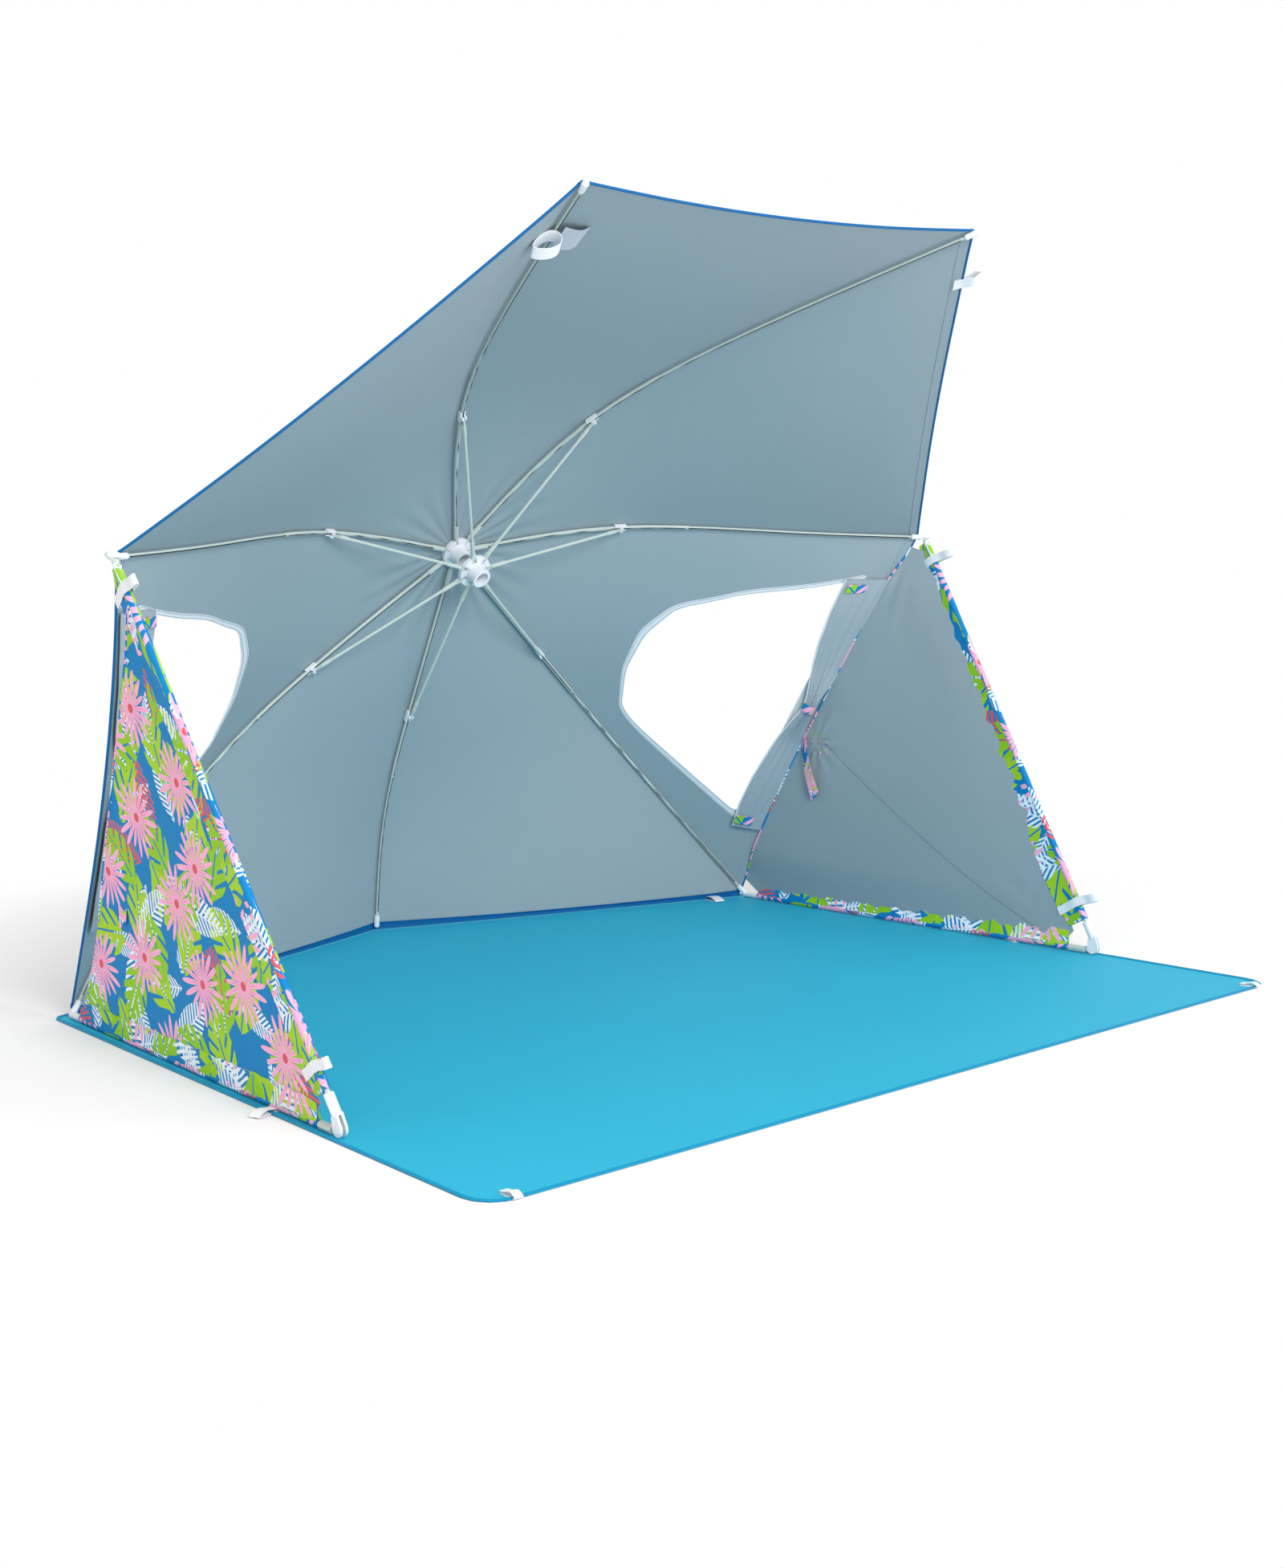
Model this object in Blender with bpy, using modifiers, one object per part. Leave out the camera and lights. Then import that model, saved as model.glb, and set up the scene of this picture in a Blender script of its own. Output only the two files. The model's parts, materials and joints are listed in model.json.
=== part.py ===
# Beach tent built like a tilted umbrella: seven curved ribs from one crown carry the cloth, two side
# wings stand on jointed rods, and a ground sheet runs out in front.
# Metres, +Z up, the open side faces -Y, and the tent is the same on both sides of X = 0.

import bpy
import bmesh
import numpy as np
from math import acos, asin, atan2, cos, hypot, pi, radians, sin, sqrt, tan
from mathutils import Matrix, Vector

# The crown and the umbrella's axis, which points into the tent and down
crown_height = 0.7705
axis_tilt = radians(32.86)
rib_count = 7

# Clearances and overruns
touch_gap = 0.0003
slot_play = 0.0004
overrun = 0.002
weld = 0.00005

# Hub radii and heights, along the axis from the crown's centre
pole_bore_radius = 0.013
crown_pivot_radius = 0.024
crown_pivot_height = 0.003
crown_flange_radius = 0.0305
crown_flange_front = 0.007
crown_flange_back = -0.0018
crown_barrel_radius = 0.0175
crown_barrel_draft = 0.0010
crown_barrel_end = 0.030
crown_cap_radius = 0.029
crown_cap_face = -0.0053
crown_cap_rim = 0.0030
crown_cap_depth = 0.0105
crown_cap_steps = 5
runner_pivot_radius = 0.0285
runner_pivot_height = 0.064
runner_flange_radius = 0.0325
runner_flange_thickness = 0.009
runner_sleeve_radius = 0.0185
runner_sleeve_end = 0.0925
runner_collar_radius = 0.0225
runner_collar_length = 0.005
edge_bevel = 0.0006
wire_radius = 0.0009
wire_hole_radius = 0.0013
wire_groove_play = 0.0003
hub_steps = 42
wire_sides = 6

# Tongues that sit in the hub slots; a stretcher's is as wide as its ferrule, which also passes the slot
tongue_thickness = 0.0036
tongue_end_radius = 0.0026
tongue_length = 0.017
runner_tongue_thickness = 0.0084

# Ribs: radius and height of three points on each kind of rib, measured from the axis
rib_joint_radius = 0.355
rib_joint_height = 0.0465
tip_height_above_ground = 0.0078
rib_kinds = {
    "top": {"mid": (0.700, 0.218), "tip": (1.034, 0.430)},
    "side": {"mid": (0.700, 0.188), "tip": (0.954, 0.295)},
    "corner": {"mid": (0.700, 0.150), "tip": (1.047, None)},
    "back": {"mid": (0.600, 0.100), "tip": (0.786, None)},
}
rib_names = ("back", "back_right", "right", "top_right", "top_left", "left", "back_left")
rib_kind_of = {
    "back": "back",
    "back_right": "corner",
    "right": "side",
    "top_right": "top",
    "top_left": "top",
    "left": "side",
    "back_left": "corner",
}
rib_ferrule_start = 0.012
rib_ferrule_end = 0.043
rib_ferrule_radius = 0.0050
rib_channel_radius = 0.0038
rib_channel_end_radius = 0.490
rib_rod_radius = 0.0028
rib_step = 0.0006
channel_stations_inner = 5
channel_stations_outer = 4
rod_stations = 10

# Caps on the rib ends
tip_cap_radius = 0.0055
tip_cap_length = 0.026
tip_cap_bore = 0.0032
tip_cap_wall = 0.0035
tip_cap_crown_share = 0.6
tip_cap_crown_drop = 0.0006
bore_relief = 0.0002
tip_cap_steps = 12
corner_stub_past = 0.0020

# Clips that join the stretchers to the ribs
clip_length = 0.024
clip_width = 0.0112
clip_outer = 0.0047
clip_inner = 0.0036
clip_pivot_offset = 0.0068
clip_ear_inner = 0.0021
clip_ear_outer = 0.0048
clip_ear_radius = 0.0040
clip_pin_radius = 0.0011
clip_hole_radius = 0.0015
clip_tongue_radius = 0.0023

# Stretchers
stretcher_radius = 0.0029
stretcher_hub_ferrule = (0.010, 0.041)
stretcher_clip_ferrule = (0.016, 0.036)
stretcher_hub_ferrule_radius = 0.0042
stretcher_clip_ferrule_radius = 0.0038

# Cloth
cloth_thickness = 0.0015
cloth_offset = 0.0068
cloth_start_radius = 0.0165
cloth_flat_radius = 0.034
cloth_hem_setback = 0.009
cloth_seam_gap = 0.0006
cloth_sag_share = 0.012
gore_rows = 15
gore_columns = 6
gore_scallops = {"top": 0.022, "upper": 0.016, "side": 0.024, "back": 0.0}

# Windows in the two side gores: shares from crown to hem, and from the side rib to the corner rib
window_corner_shares = (
    (0.598, 0.382),
    (0.720, 0.243),
    (0.940, 0.122),
    (0.945, 0.855),
    (0.605, 0.885),
    (0.566, 0.730),
    (0.564, 0.545),
)
window_corner_share = 0.22
window_corner_points = 4
window_frame_shares = ((0.5, 0.5), (0.9, 0.5), (0.7, 0.2), (0.7, 0.8))
window_cut_half = 0.12

# Window curtains, gathered along the hem side of the windows and drawn in by a tie
curtain_shares = (0.960, 0.132, 0.846)
curtain_end_half_width = 0.0340
curtain_end_half_depth = 0.0050
curtain_waist_radius = 0.0125
curtain_waist_share = 0.5
curtain_waist_reach_share = 0.10
curtain_spread_share = 0.8
curtain_tie_reach_share = 0.25
curtain_slope_step = 0.01
curtain_lobes = 6
curtain_lobe_share = 0.20
curtain_stations = 21
curtain_sides = 24
curtain_twist = radians(70.0)
tie_width = 0.016
tie_thickness = 0.0016
tie_steps = 20

# Ground sheet
sheet_thickness = 0.0015
sheet_front = -1.197
sheet_front_half = 0.918
sheet_corner_back = 0.045
sheet_corner_half = 0.838
sheet_middle_back = 0.292
sheet_front_corner_radius = 0.045
sheet_corner_points = 6

# Wings
foot_half_spread = 0.884
foot_forward = -0.840
foot_pivot_offset = 0.0070
foot_ear_radius = 0.0125
foot_clear_of_sheet = 0.0004
wing_pivot_reach = 0.0125
wing_pivot_rise = 0.0050
wing_eye_offset = 0.0095
wing_rod_radius = 0.0040
wing_line_passes = 6
knuckle_radius = 0.0062
knuckle_thickness = 0.0042
knuckle_pin_radius = 0.0020
knuckle_hole_radius = 0.0024
knuckle_flat_gap = 0.0004
ear_base_half = 0.0045
eye_base_half = 0.0050
wing_ferrule_radius = 0.0062
wing_ferrule_length = 0.038
wing_ferrule_start = 0.0090
foot_socket_radius = 0.0078
foot_socket_start = 0.0150
foot_socket_end = 0.050
foot_socket_depth = 0.030
foot_ear_gap = 0.0052
foot_ear_thickness = 0.0036
foot_tongue_thickness = 0.0044
foot_tongue_radius = 0.0052
foot_tongue_half = 0.0050
foot_pin_radius = 0.0022
foot_pin_hole = 0.0026
ground_rod_ferrule = (0.0180, 0.052)
ground_rod_ferrule_radius = 0.0066
corner_socket_length = 0.034
corner_rod_gap = 0.0010
panel_thickness = 0.0015
panel_rod_gap = 0.0005
panel_ground_gap = 0.0005
panel_back_inset = 0.004
panel_back_bow = 0.012
panel_top_start = 0.050
panel_foot_start = 0.072
panel_corner_start = 0.062
panel_back_points = 6

# Facets of round pieces
round_sides = 16
small_sides = 10

cloth_inside = (0.27, 0.36, 0.45)
cloth_outside = (0.05, 0.33, 0.72)
sheet_blue = (0.06, 0.45, 0.66)
white_plastic = (0.85, 0.86, 0.86)
rod_grey = (0.58, 0.64, 0.60)
steel_grey = (0.55, 0.56, 0.57)
print_blue = (0.02, 0.32, 0.75)


def clear_scene():
    for item in list(bpy.data.objects):
        bpy.data.objects.remove(item, do_unlink=True)


clear_scene()
tent = bpy.data.collections.new("beach_tent")
cutters = bpy.data.collections.new("cutters")
bpy.context.scene.collection.children.link(tent)
bpy.context.scene.collection.children.link(cutters)


def material(name, colour, roughness, metallic=0.0):
    made = bpy.data.materials.new(name)
    made.use_nodes = True
    shader = made.node_tree.nodes["Principled BSDF"]
    shader.inputs["Base Color"].default_value = (*colour, 1.0)
    shader.inputs["Roughness"].default_value = roughness
    shader.inputs["Metallic"].default_value = metallic
    made.diffuse_color = (*colour, 1.0)
    return made


looks = {
    "plastic": lambda name: material(name, white_plastic, 0.35),
    "rod": lambda name: material(name, rod_grey, 0.45),
    "steel": lambda name: material(name, steel_grey, 0.3, 1.0),
    "canopy": lambda name: material(name, cloth_inside, 0.8),
    "printed": lambda name: material(name, cloth_outside, 0.8),
    "sheet": lambda name: material(name, sheet_blue, 0.6),
    "tie": lambda name: material(name, print_blue, 0.8),
}


def empty(name, matrix, parent=None):
    made = bpy.data.objects.new(name, None)
    made.empty_display_size = tip_cap_length
    tent.objects.link(made)
    made.parent = parent
    made.matrix_local = matrix
    bpy.context.view_layer.update()
    return made


def place(thing, look=None, parent=None, matrix=None, tool=False):
    """Link an object as a part with its own material, or as a hidden tool."""
    (cutters if tool else tent).objects.link(thing)
    thing.parent = parent
    if matrix is not None:
        thing.matrix_local = matrix
    if tool:
        thing.hide_render = True
        thing.display_type = "WIRE"
    elif look:
        thing.data.materials.clear()
        thing.data.materials.append(looks[look](thing.name + "_look"))
    bpy.context.view_layer.update()
    return thing


def from_bmesh(name, shape, look=None, parent=None, matrix=None, tool=False, smooth=True):
    mesh = bpy.data.meshes.new(name)
    bmesh.ops.recalc_face_normals(shape, faces=shape.faces)
    shape.to_mesh(mesh)
    shape.free()
    if smooth:
        mesh.shade_smooth()
        mesh.set_sharp_from_angle(angle=radians(35.0))
    return place(bpy.data.objects.new(name, mesh), look, parent, matrix, tool)


def turned(name, profile, steps, closed=False, look=None, parent=None, matrix=None, tool=False):
    """A profile of (radius, height) points, outer side running downwards, swept about Z."""
    mesh = bpy.data.meshes.new(name)
    count = len(profile)
    edges = [(i, i + 1) for i in range(count - 1)] + ([(count - 1, 0)] if closed else [])
    mesh.from_pydata([(r, 0.0, z) for r, z in profile], edges, [])
    thing = place(bpy.data.objects.new(name, mesh), look, parent, matrix, tool)
    screw = thing.modifiers.new("turn", "SCREW")
    screw.steps = steps
    screw.render_steps = steps
    screw.use_merge_vertices = True
    screw.merge_threshold = weld
    screw.use_smooth_shade = True
    return baked(thing)


def baked(thing):
    """Replace an object's curve or modifiers by the mesh they make, with welded seams."""
    bpy.context.view_layer.update()
    graph = bpy.context.evaluated_depsgraph_get()
    mesh = bpy.data.meshes.new_from_object(thing.evaluated_get(graph))
    shape = bmesh.new()
    shape.from_mesh(mesh)
    bmesh.ops.remove_doubles(shape, verts=shape.verts, dist=weld)
    bmesh.ops.recalc_face_normals(shape, faces=shape.faces)
    shape.to_mesh(mesh)
    shape.free()
    mesh.shade_smooth()
    mesh.set_sharp_from_angle(angle=radians(35.0))
    name, parent, matrix, home = thing.name, thing.parent, thing.matrix_local.copy(), thing.users_collection[0]
    tool = home == cutters
    bpy.data.objects.remove(thing, do_unlink=True)
    mesh.name = name
    made = bpy.data.objects.new(name, mesh)
    home.objects.link(made)
    made.parent = parent
    made.matrix_local = matrix
    made.hide_render = tool
    made.display_type = "WIRE" if tool else "TEXTURED"
    bpy.context.view_layer.update()
    return made


def tube(name, points, radii, look=None, parent=None, matrix=None, tool=False, resolution=2):
    """A POLY spline with a radius at each point and filled caps."""
    curve = bpy.data.curves.new(name, "CURVE")
    curve.dimensions = "3D"
    curve.bevel_depth = max(radii)
    curve.bevel_resolution = resolution
    curve.use_fill_caps = True
    spline = curve.splines.new("POLY")
    spline.points.add(len(points) - 1)
    for point, spot, radius in zip(spline.points, points, radii):
        point.co = (*spot, 1.0)
        point.radius = radius / curve.bevel_depth
    return baked(place(bpy.data.objects.new(name, curve), look, parent, matrix, tool))


def flat_outline(name, points, thickness, look=None, parent=None, matrix=None, tool=False):
    """A closed outline in local XY, filled on both sides and extruded evenly about z = 0."""
    curve = bpy.data.curves.new(name, "CURVE")
    curve.dimensions = "2D"
    curve.fill_mode = "BOTH"
    curve.extrude = thickness / 2.0
    spline = curve.splines.new("POLY")
    spline.points.add(len(points) - 1)
    for point, (x, y) in zip(spline.points, points):
        point.co = (x, y, 0.0, 1.0)
    spline.use_cyclic_u = True
    return baked(place(bpy.data.objects.new(name, curve), look, parent, matrix, tool))


def cylinder(name, radius, length, look=None, parent=None, matrix=None, tool=False, sides=round_sides):
    shape = bmesh.new()
    bmesh.ops.create_cone(
        shape, cap_ends=True, segments=sides, radius1=radius, radius2=radius, depth=length
    )
    return from_bmesh(name, shape, look, parent, matrix, tool)


def block(name, low, high, look=None, parent=None, matrix=None, tool=False):
    shape = bmesh.new()
    low, high = Vector(low), Vector(high)
    bmesh.ops.create_cube(shape, size=1.0, matrix=Matrix.Translation((low + high) / 2.0))
    middle = (low + high) / 2.0
    bmesh.ops.scale(
        shape, vec=high - low, space=Matrix.Translation(-middle), verts=shape.verts
    )
    return from_bmesh(name, shape, look, parent, matrix, tool, smooth=False)


def join(thing, tools, operation):
    for tool in tools:
        step = thing.modifiers.new(operation.lower() + "_" + tool.name, "BOOLEAN")
        step.operation = operation
        step.solver = "EXACT"
        step.object = tool
    return thing


def drop_shape(x_end, radius, half_height, points=6):
    """A round end at the origin that runs on as a straight bar along local X."""
    outline = [(x_end, -half_height), (x_end, half_height)]
    for step in range(points + 1):
        angle = pi / 2.0 + pi * step / points
        outline.append((radius * cos(angle), radius * sin(angle)))
    return outline


def leaf_outline(radius, x_end, low, high, points=8):
    """A round end at the origin that runs on to a square end between two heights."""
    outline = [(x_end, low), (x_end, high)]
    for step in range(points + 1):
        angle = pi / 2.0 + pi * step / points
        outline.append((radius * cos(angle), radius * sin(angle)))
    return outline


# Local frames. XZ_PLATE turns a flat outline so that its faces look along local Y.
XZ_PLATE = Matrix.Rotation(radians(90.0), 4, "X")
ALONG_X = Matrix.Rotation(radians(90.0), 4, "Y")
ALONG_Y = Matrix.Rotation(radians(90.0), 4, "X")


def shifted(x=0.0, y=0.0, z=0.0):
    return Matrix.Translation((x, y, z))


def frame_from(origin, x_axis, z_axis):
    """A frame with exact X, and Z as near to z_axis as it can be."""
    x_axis = Vector(x_axis).normalized()
    y_axis = Vector(z_axis).cross(x_axis).normalized()
    z_axis = x_axis.cross(y_axis)
    turn = Matrix((x_axis, y_axis, z_axis)).transposed().to_4x4()
    return Matrix.Translation(origin) @ turn


def natural_spline(knots, x):
    """Height at x of the bent rod through the knots, straight at both ends."""
    xs = np.array([k[0] for k in knots])
    ys = np.array([k[1] for k in knots])
    gaps = np.diff(xs)
    rows = np.eye(len(xs))
    loads = np.zeros(len(xs))
    for i in range(1, len(xs) - 1):
        rows[i, i - 1 : i + 2] = gaps[i - 1], 2.0 * (gaps[i - 1] + gaps[i]), gaps[i]
        loads[i] = 6.0 * ((ys[i + 1] - ys[i]) / gaps[i] - (ys[i] - ys[i - 1]) / gaps[i - 1])
    bends = np.linalg.solve(rows, loads)
    k = int(np.clip(np.searchsorted(xs, x) - 1, 0, len(xs) - 2))
    ahead, behind, gap = xs[k + 1] - x, x - xs[k], gaps[k]
    height = (bends[k] * ahead**3 + bends[k + 1] * behind**3) / (6.0 * gap)
    height += (ys[k] / gap - bends[k] * gap / 6.0) * ahead
    height += (ys[k + 1] / gap - bends[k + 1] * gap / 6.0) * behind
    return float(height)


# The hub frame: local Z runs along the umbrella's axis, local Y up, local X to the tent's right
hub_matrix = Matrix.Translation((0.0, 0.0, crown_height)) @ Matrix.Rotation(radians(90.0) + axis_tilt, 4, "X")
hub = empty("hub_frame", hub_matrix)


def rib_turn(name):
    """Angle of a rib about the hub's axis, from local X."""
    return radians(-90.0) + rib_names.index(name) * 2.0 * pi / rib_count


def ground_tip_height(name, radius):
    """Height along the axis at which a rib end of this radius lies just above the ground."""
    spoke_down = -sin(rib_turn(name)) * cos(axis_tilt)
    return (crown_height - tip_height_above_ground - radius * spoke_down) / sin(axis_tilt)


def rib_knots(name):
    kind = rib_kinds[rib_kind_of[name]]
    tip_radius, tip_height = kind["tip"]
    if tip_height is None:
        tip_height = ground_tip_height(name, tip_radius)
    return (
        (crown_pivot_radius, crown_pivot_height),
        (rib_joint_radius, rib_joint_height),
        kind["mid"],
        (tip_radius, tip_height),
    )


def rib_height(name, radius):
    return natural_spline(rib_knots(name), radius)


def rib_slope(name, radius):
    step = rib_step
    return (rib_height(name, radius + step) - rib_height(name, radius - step)) / (2.0 * step)


def rib_point(name, radius, outward=0.0):
    """A point of the rib's line in hub coordinates, moved square to the rib, away from the inside."""
    slope = rib_slope(name, radius)
    length = hypot(slope, 1.0)
    r = radius + outward * slope / length
    h = rib_height(name, radius) - outward / length
    turn = rib_turn(name)
    return Vector((r * cos(turn), r * sin(turn), h))


# Crown
crown_profile = (
    (pole_bore_radius, crown_barrel_end),
    (crown_barrel_radius - crown_barrel_draft - edge_bevel, crown_barrel_end),
    (crown_barrel_radius - crown_barrel_draft, crown_barrel_end - edge_bevel),
    (crown_barrel_radius, crown_flange_front),
    (crown_flange_radius - edge_bevel, crown_flange_front),
    (crown_flange_radius, crown_flange_front - edge_bevel),
    (crown_flange_radius, crown_flange_back + edge_bevel),
    (crown_flange_radius - edge_bevel, crown_flange_back),
    (pole_bore_radius, crown_flange_back),
)


def slot_set(name, inner, outer, low, high, thickness):
    """Seven radial slots for tongues of one thickness, as one cutter."""
    shape = bmesh.new()
    width = thickness + 2.0 * slot_play
    for rib_name in rib_names:
        turn = Matrix.Rotation(rib_turn(rib_name), 4, "Z")
        middle = Vector(((inner + outer) / 2.0, 0.0, (low + high) / 2.0))
        size = Matrix.Diagonal((outer - inner, width, high - low, 1.0))
        bmesh.ops.create_cube(shape, size=1.0, matrix=turn @ Matrix.Translation(middle) @ size)
    return from_bmesh(name, shape, parent=hub, tool=True, smooth=False)


crown = turned("crown", crown_profile, hub_steps, closed=True, look="plastic", parent=hub)
crown_slot_start = crown_pivot_radius - tongue_end_radius - 2.0 * slot_play
crown_slots = slot_set(
    "crown_slots",
    crown_slot_start,
    crown_flange_radius + overrun,
    crown_flange_back - overrun,
    crown_flange_front + edge_bevel,
    tongue_thickness,
)
groove_half = wire_radius + wire_groove_play
groove_profile = (
    (crown_pivot_radius - groove_half, crown_pivot_height + groove_half),
    (crown_pivot_radius + groove_half, crown_pivot_height + groove_half),
    (crown_pivot_radius + groove_half, crown_flange_back - overrun),
    (crown_pivot_radius - groove_half, crown_flange_back - overrun),
)
crown_groove = turned("crown_groove", groove_profile, hub_steps, closed=True, parent=hub, tool=True)
join(crown, (crown_slots, crown_groove), "DIFFERENCE")

cap_profile = [(0.0, crown_cap_face), (crown_cap_radius - edge_bevel, crown_cap_face)]
cap_profile.append((crown_cap_radius, crown_cap_face - edge_bevel))
cap_rim_height = crown_cap_face - crown_cap_rim
for step in range(crown_cap_steps):
    angle = radians(90.0) * step / crown_cap_steps
    cap_drop = (crown_cap_depth - crown_cap_rim) * sin(angle)
    cap_profile.append((crown_cap_radius * cos(angle), cap_rim_height - cap_drop))
cap_profile.append((0.0, crown_cap_face - crown_cap_depth))
turned("crown_cap", cap_profile, hub_steps, look="plastic", parent=hub)


def wire_ring(name, radius, height):
    """The hinge wire: a closed ring of round wire lying square to the axis."""
    points = []
    for step in range(hub_steps):
        angle = 2.0 * pi * step / hub_steps
        points.append((radius * cos(angle), radius * sin(angle), height))
    curve = bpy.data.curves.new(name, "CURVE")
    curve.dimensions = "3D"
    curve.bevel_depth = wire_radius
    curve.bevel_resolution = (wire_sides - 4) // 2
    spline = curve.splines.new("POLY")
    spline.points.add(len(points) - 1)
    for point, spot in zip(spline.points, points):
        point.co = (*spot, 1.0)
    spline.use_cyclic_u = True
    return baked(place(bpy.data.objects.new(name, curve), "steel", hub))


wire_ring("crown_wire", crown_pivot_radius, crown_pivot_height)

# Runner: a slotted flange on a sleeve, with a collar behind the slots
runner_back = runner_pivot_height - runner_flange_thickness / 2.0
runner_front = runner_pivot_height + runner_flange_thickness / 2.0
runner_profile = (
    (pole_bore_radius, runner_sleeve_end),
    (runner_sleeve_radius - edge_bevel, runner_sleeve_end),
    (runner_sleeve_radius, runner_sleeve_end - edge_bevel),
    (runner_sleeve_radius, runner_front + edge_bevel),
    (runner_sleeve_radius + edge_bevel, runner_front),
    (runner_flange_radius - edge_bevel, runner_front),
    (runner_flange_radius, runner_front - edge_bevel),
    (runner_flange_radius, runner_back + edge_bevel),
    (runner_flange_radius - edge_bevel, runner_back),
    (runner_sleeve_radius, runner_back),
    (runner_sleeve_radius - edge_bevel, runner_back - runner_collar_length),
    (pole_bore_radius, runner_back - runner_collar_length),
)
runner = turned("runner", runner_profile, hub_steps, closed=True, look="plastic", parent=hub)
runner_slots = slot_set(
    "runner_slots",
    runner_sleeve_radius + edge_bevel,
    runner_flange_radius + overrun,
    runner_back - overrun,
    runner_front + overrun,
    runner_tongue_thickness,
)
join(runner, (runner_slots,), "DIFFERENCE")


def tongue(name, parent, matrix, thickness, length, radius, hole=0.0):
    """A flat bar with a round end at its pivot, on edge, for joining to a ferrule."""
    plate = flat_outline(
        name, drop_shape(length, radius, radius), thickness, parent=parent, matrix=matrix @ XZ_PLATE, tool=True
    )
    if hole:
        pin = cylinder(
            name + "_hole",
            hole,
            thickness + 2.0 * overrun,
            parent=parent,
            matrix=matrix @ ALONG_Y,
            tool=True,
            sides=small_sides,
        )
        join(plate, (pin,), "DIFFERENCE")
    return plate


def make_rib(name):
    frame_turn = Matrix.Rotation(rib_turn(name), 4, "Z")
    hinge = shifted(crown_pivot_radius, 0.0, crown_pivot_height)
    rib_frame = empty("rib_hinge_" + name, frame_turn @ hinge, hub)

    # The line of the rib in its own frame, square end of the ferrule to the end inside the cap
    knots = rib_knots(name)
    tip_radius = knots[-1][0]
    radii_at = []
    for spot in (rib_ferrule_start, rib_ferrule_end):
        radii_at.append((crown_pivot_radius + spot, rib_ferrule_radius))
    start = crown_pivot_radius + rib_ferrule_end + rib_step
    clip_start, clip_end = rib_joint_radius - clip_length / 2.0, rib_joint_radius + clip_length / 2.0
    for low, high, count in (
        (start, clip_start, channel_stations_inner),
        (clip_end, rib_channel_end_radius, channel_stations_outer),
    ):
        for step in range(count):
            radii_at.append((low + (high - low) * step / (count - 1.0), rib_channel_radius))
    start = rib_channel_end_radius + rib_step
    tip_slope = rib_slope(name, tip_radius)
    tip_run = cos(atan2(tip_slope, 1.0))
    end = tip_radius - (tip_cap_wall + touch_gap) * tip_run
    for step in range(rod_stations):
        share = step / (rod_stations - 1.0)
        radii_at.append((start + share * (end - start), rib_rod_radius))
    points = []
    for radius, _ in radii_at:
        points.append((radius - crown_pivot_radius, 0.0, rib_height(name, radius) - crown_pivot_height))
    rib = tube("rib_" + name, points, [r for _, r in radii_at], look="rod", parent=rib_frame)
    hub_slope = atan2(points[0][2], points[0][0])
    tongue_matrix = Matrix.Rotation(-hub_slope, 4, "Y")
    plate = tongue(
        "rib_tongue_" + name,
        rib_frame,
        tongue_matrix,
        tongue_thickness,
        tongue_length,
        tongue_end_radius,
        wire_hole_radius,
    )
    join(rib, (plate,), "UNION")

    # Cap over the rib's end, open towards the crown
    cap_frame = Matrix.Translation(
        (tip_radius - crown_pivot_radius, 0.0, rib_height(name, tip_radius) - crown_pivot_height)
    ) @ Matrix.Rotation(radians(90.0) - atan2(tip_slope, 1.0), 4, "Y")
    cap_profile = (
        (0.0, 0.0),
        (tip_cap_crown_share * tip_cap_radius, -tip_cap_crown_drop),
        (tip_cap_radius, -tip_cap_wall),
        (tip_cap_radius, -tip_cap_length),
        (tip_cap_bore, -tip_cap_length),
        (tip_cap_bore, -tip_cap_wall),
        (0.0, -tip_cap_wall),
    )
    turned("rib_tip_" + name, cap_profile, tip_cap_steps, look="plastic", parent=rib_frame, matrix=cap_frame)
    return rib_frame


def make_clip(name, rib_frame):
    """A saddle clamped on the rib, with two ears and a pin for the stretcher's outer end."""
    slope = atan2(rib_slope(name, rib_joint_radius), 1.0)
    centre = shifted(rib_joint_radius - crown_pivot_radius, 0.0, rib_joint_height - crown_pivot_height)
    seat = centre @ Matrix.Rotation(-slope, 4, "Y")
    half_length, half_width = clip_length / 2.0, clip_width / 2.0
    clip = block(
        "rib_joint_" + name,
        (-half_length, -half_width, -clip_outer),
        (half_length, half_width, clip_inner),
        look="plastic",
        parent=rib_frame,
        matrix=seat,
    )
    soften = clip.modifiers.new("soften", "BEVEL")
    soften.width = edge_bevel
    soften.segments = 1
    ears = []
    ear_middle = (clip_ear_inner + clip_ear_outer) / 2.0
    ear_outline = drop_shape(clip_pivot_offset, clip_ear_radius, clip_ear_radius)
    upright = Matrix.Rotation(radians(90.0), 4, "Y")
    for side, label in ((-1.0, "a"), (1.0, "b")):
        ear_place = seat @ shifted(0.0, side * ear_middle, clip_pivot_offset) @ upright @ XZ_PLATE
        ears.append(
            flat_outline(
                "clip_ear_" + label + "_" + name,
                ear_outline,
                clip_ear_outer - clip_ear_inner,
                parent=rib_frame,
                matrix=ear_place,
                tool=True,
            )
        )
    pin = cylinder(
        "clip_pin_" + name,
        clip_pin_radius,
        clip_ear_inner + clip_ear_outer,
        parent=rib_frame,
        matrix=seat @ shifted(0.0, 0.0, clip_pivot_offset) @ ALONG_Y,
        tool=True,
        sides=small_sides,
    )
    bore = cylinder(
        "clip_bore_" + name,
        rib_channel_radius + touch_gap,
        clip_length + 2.0 * overrun,
        parent=rib_frame,
        matrix=seat @ ALONG_X,
        tool=True,
    )
    join(clip, ears, "UNION")
    join(clip, (bore,), "DIFFERENCE")
    join(clip, (pin,), "UNION")
    return seat @ shifted(0.0, 0.0, clip_pivot_offset)


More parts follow.
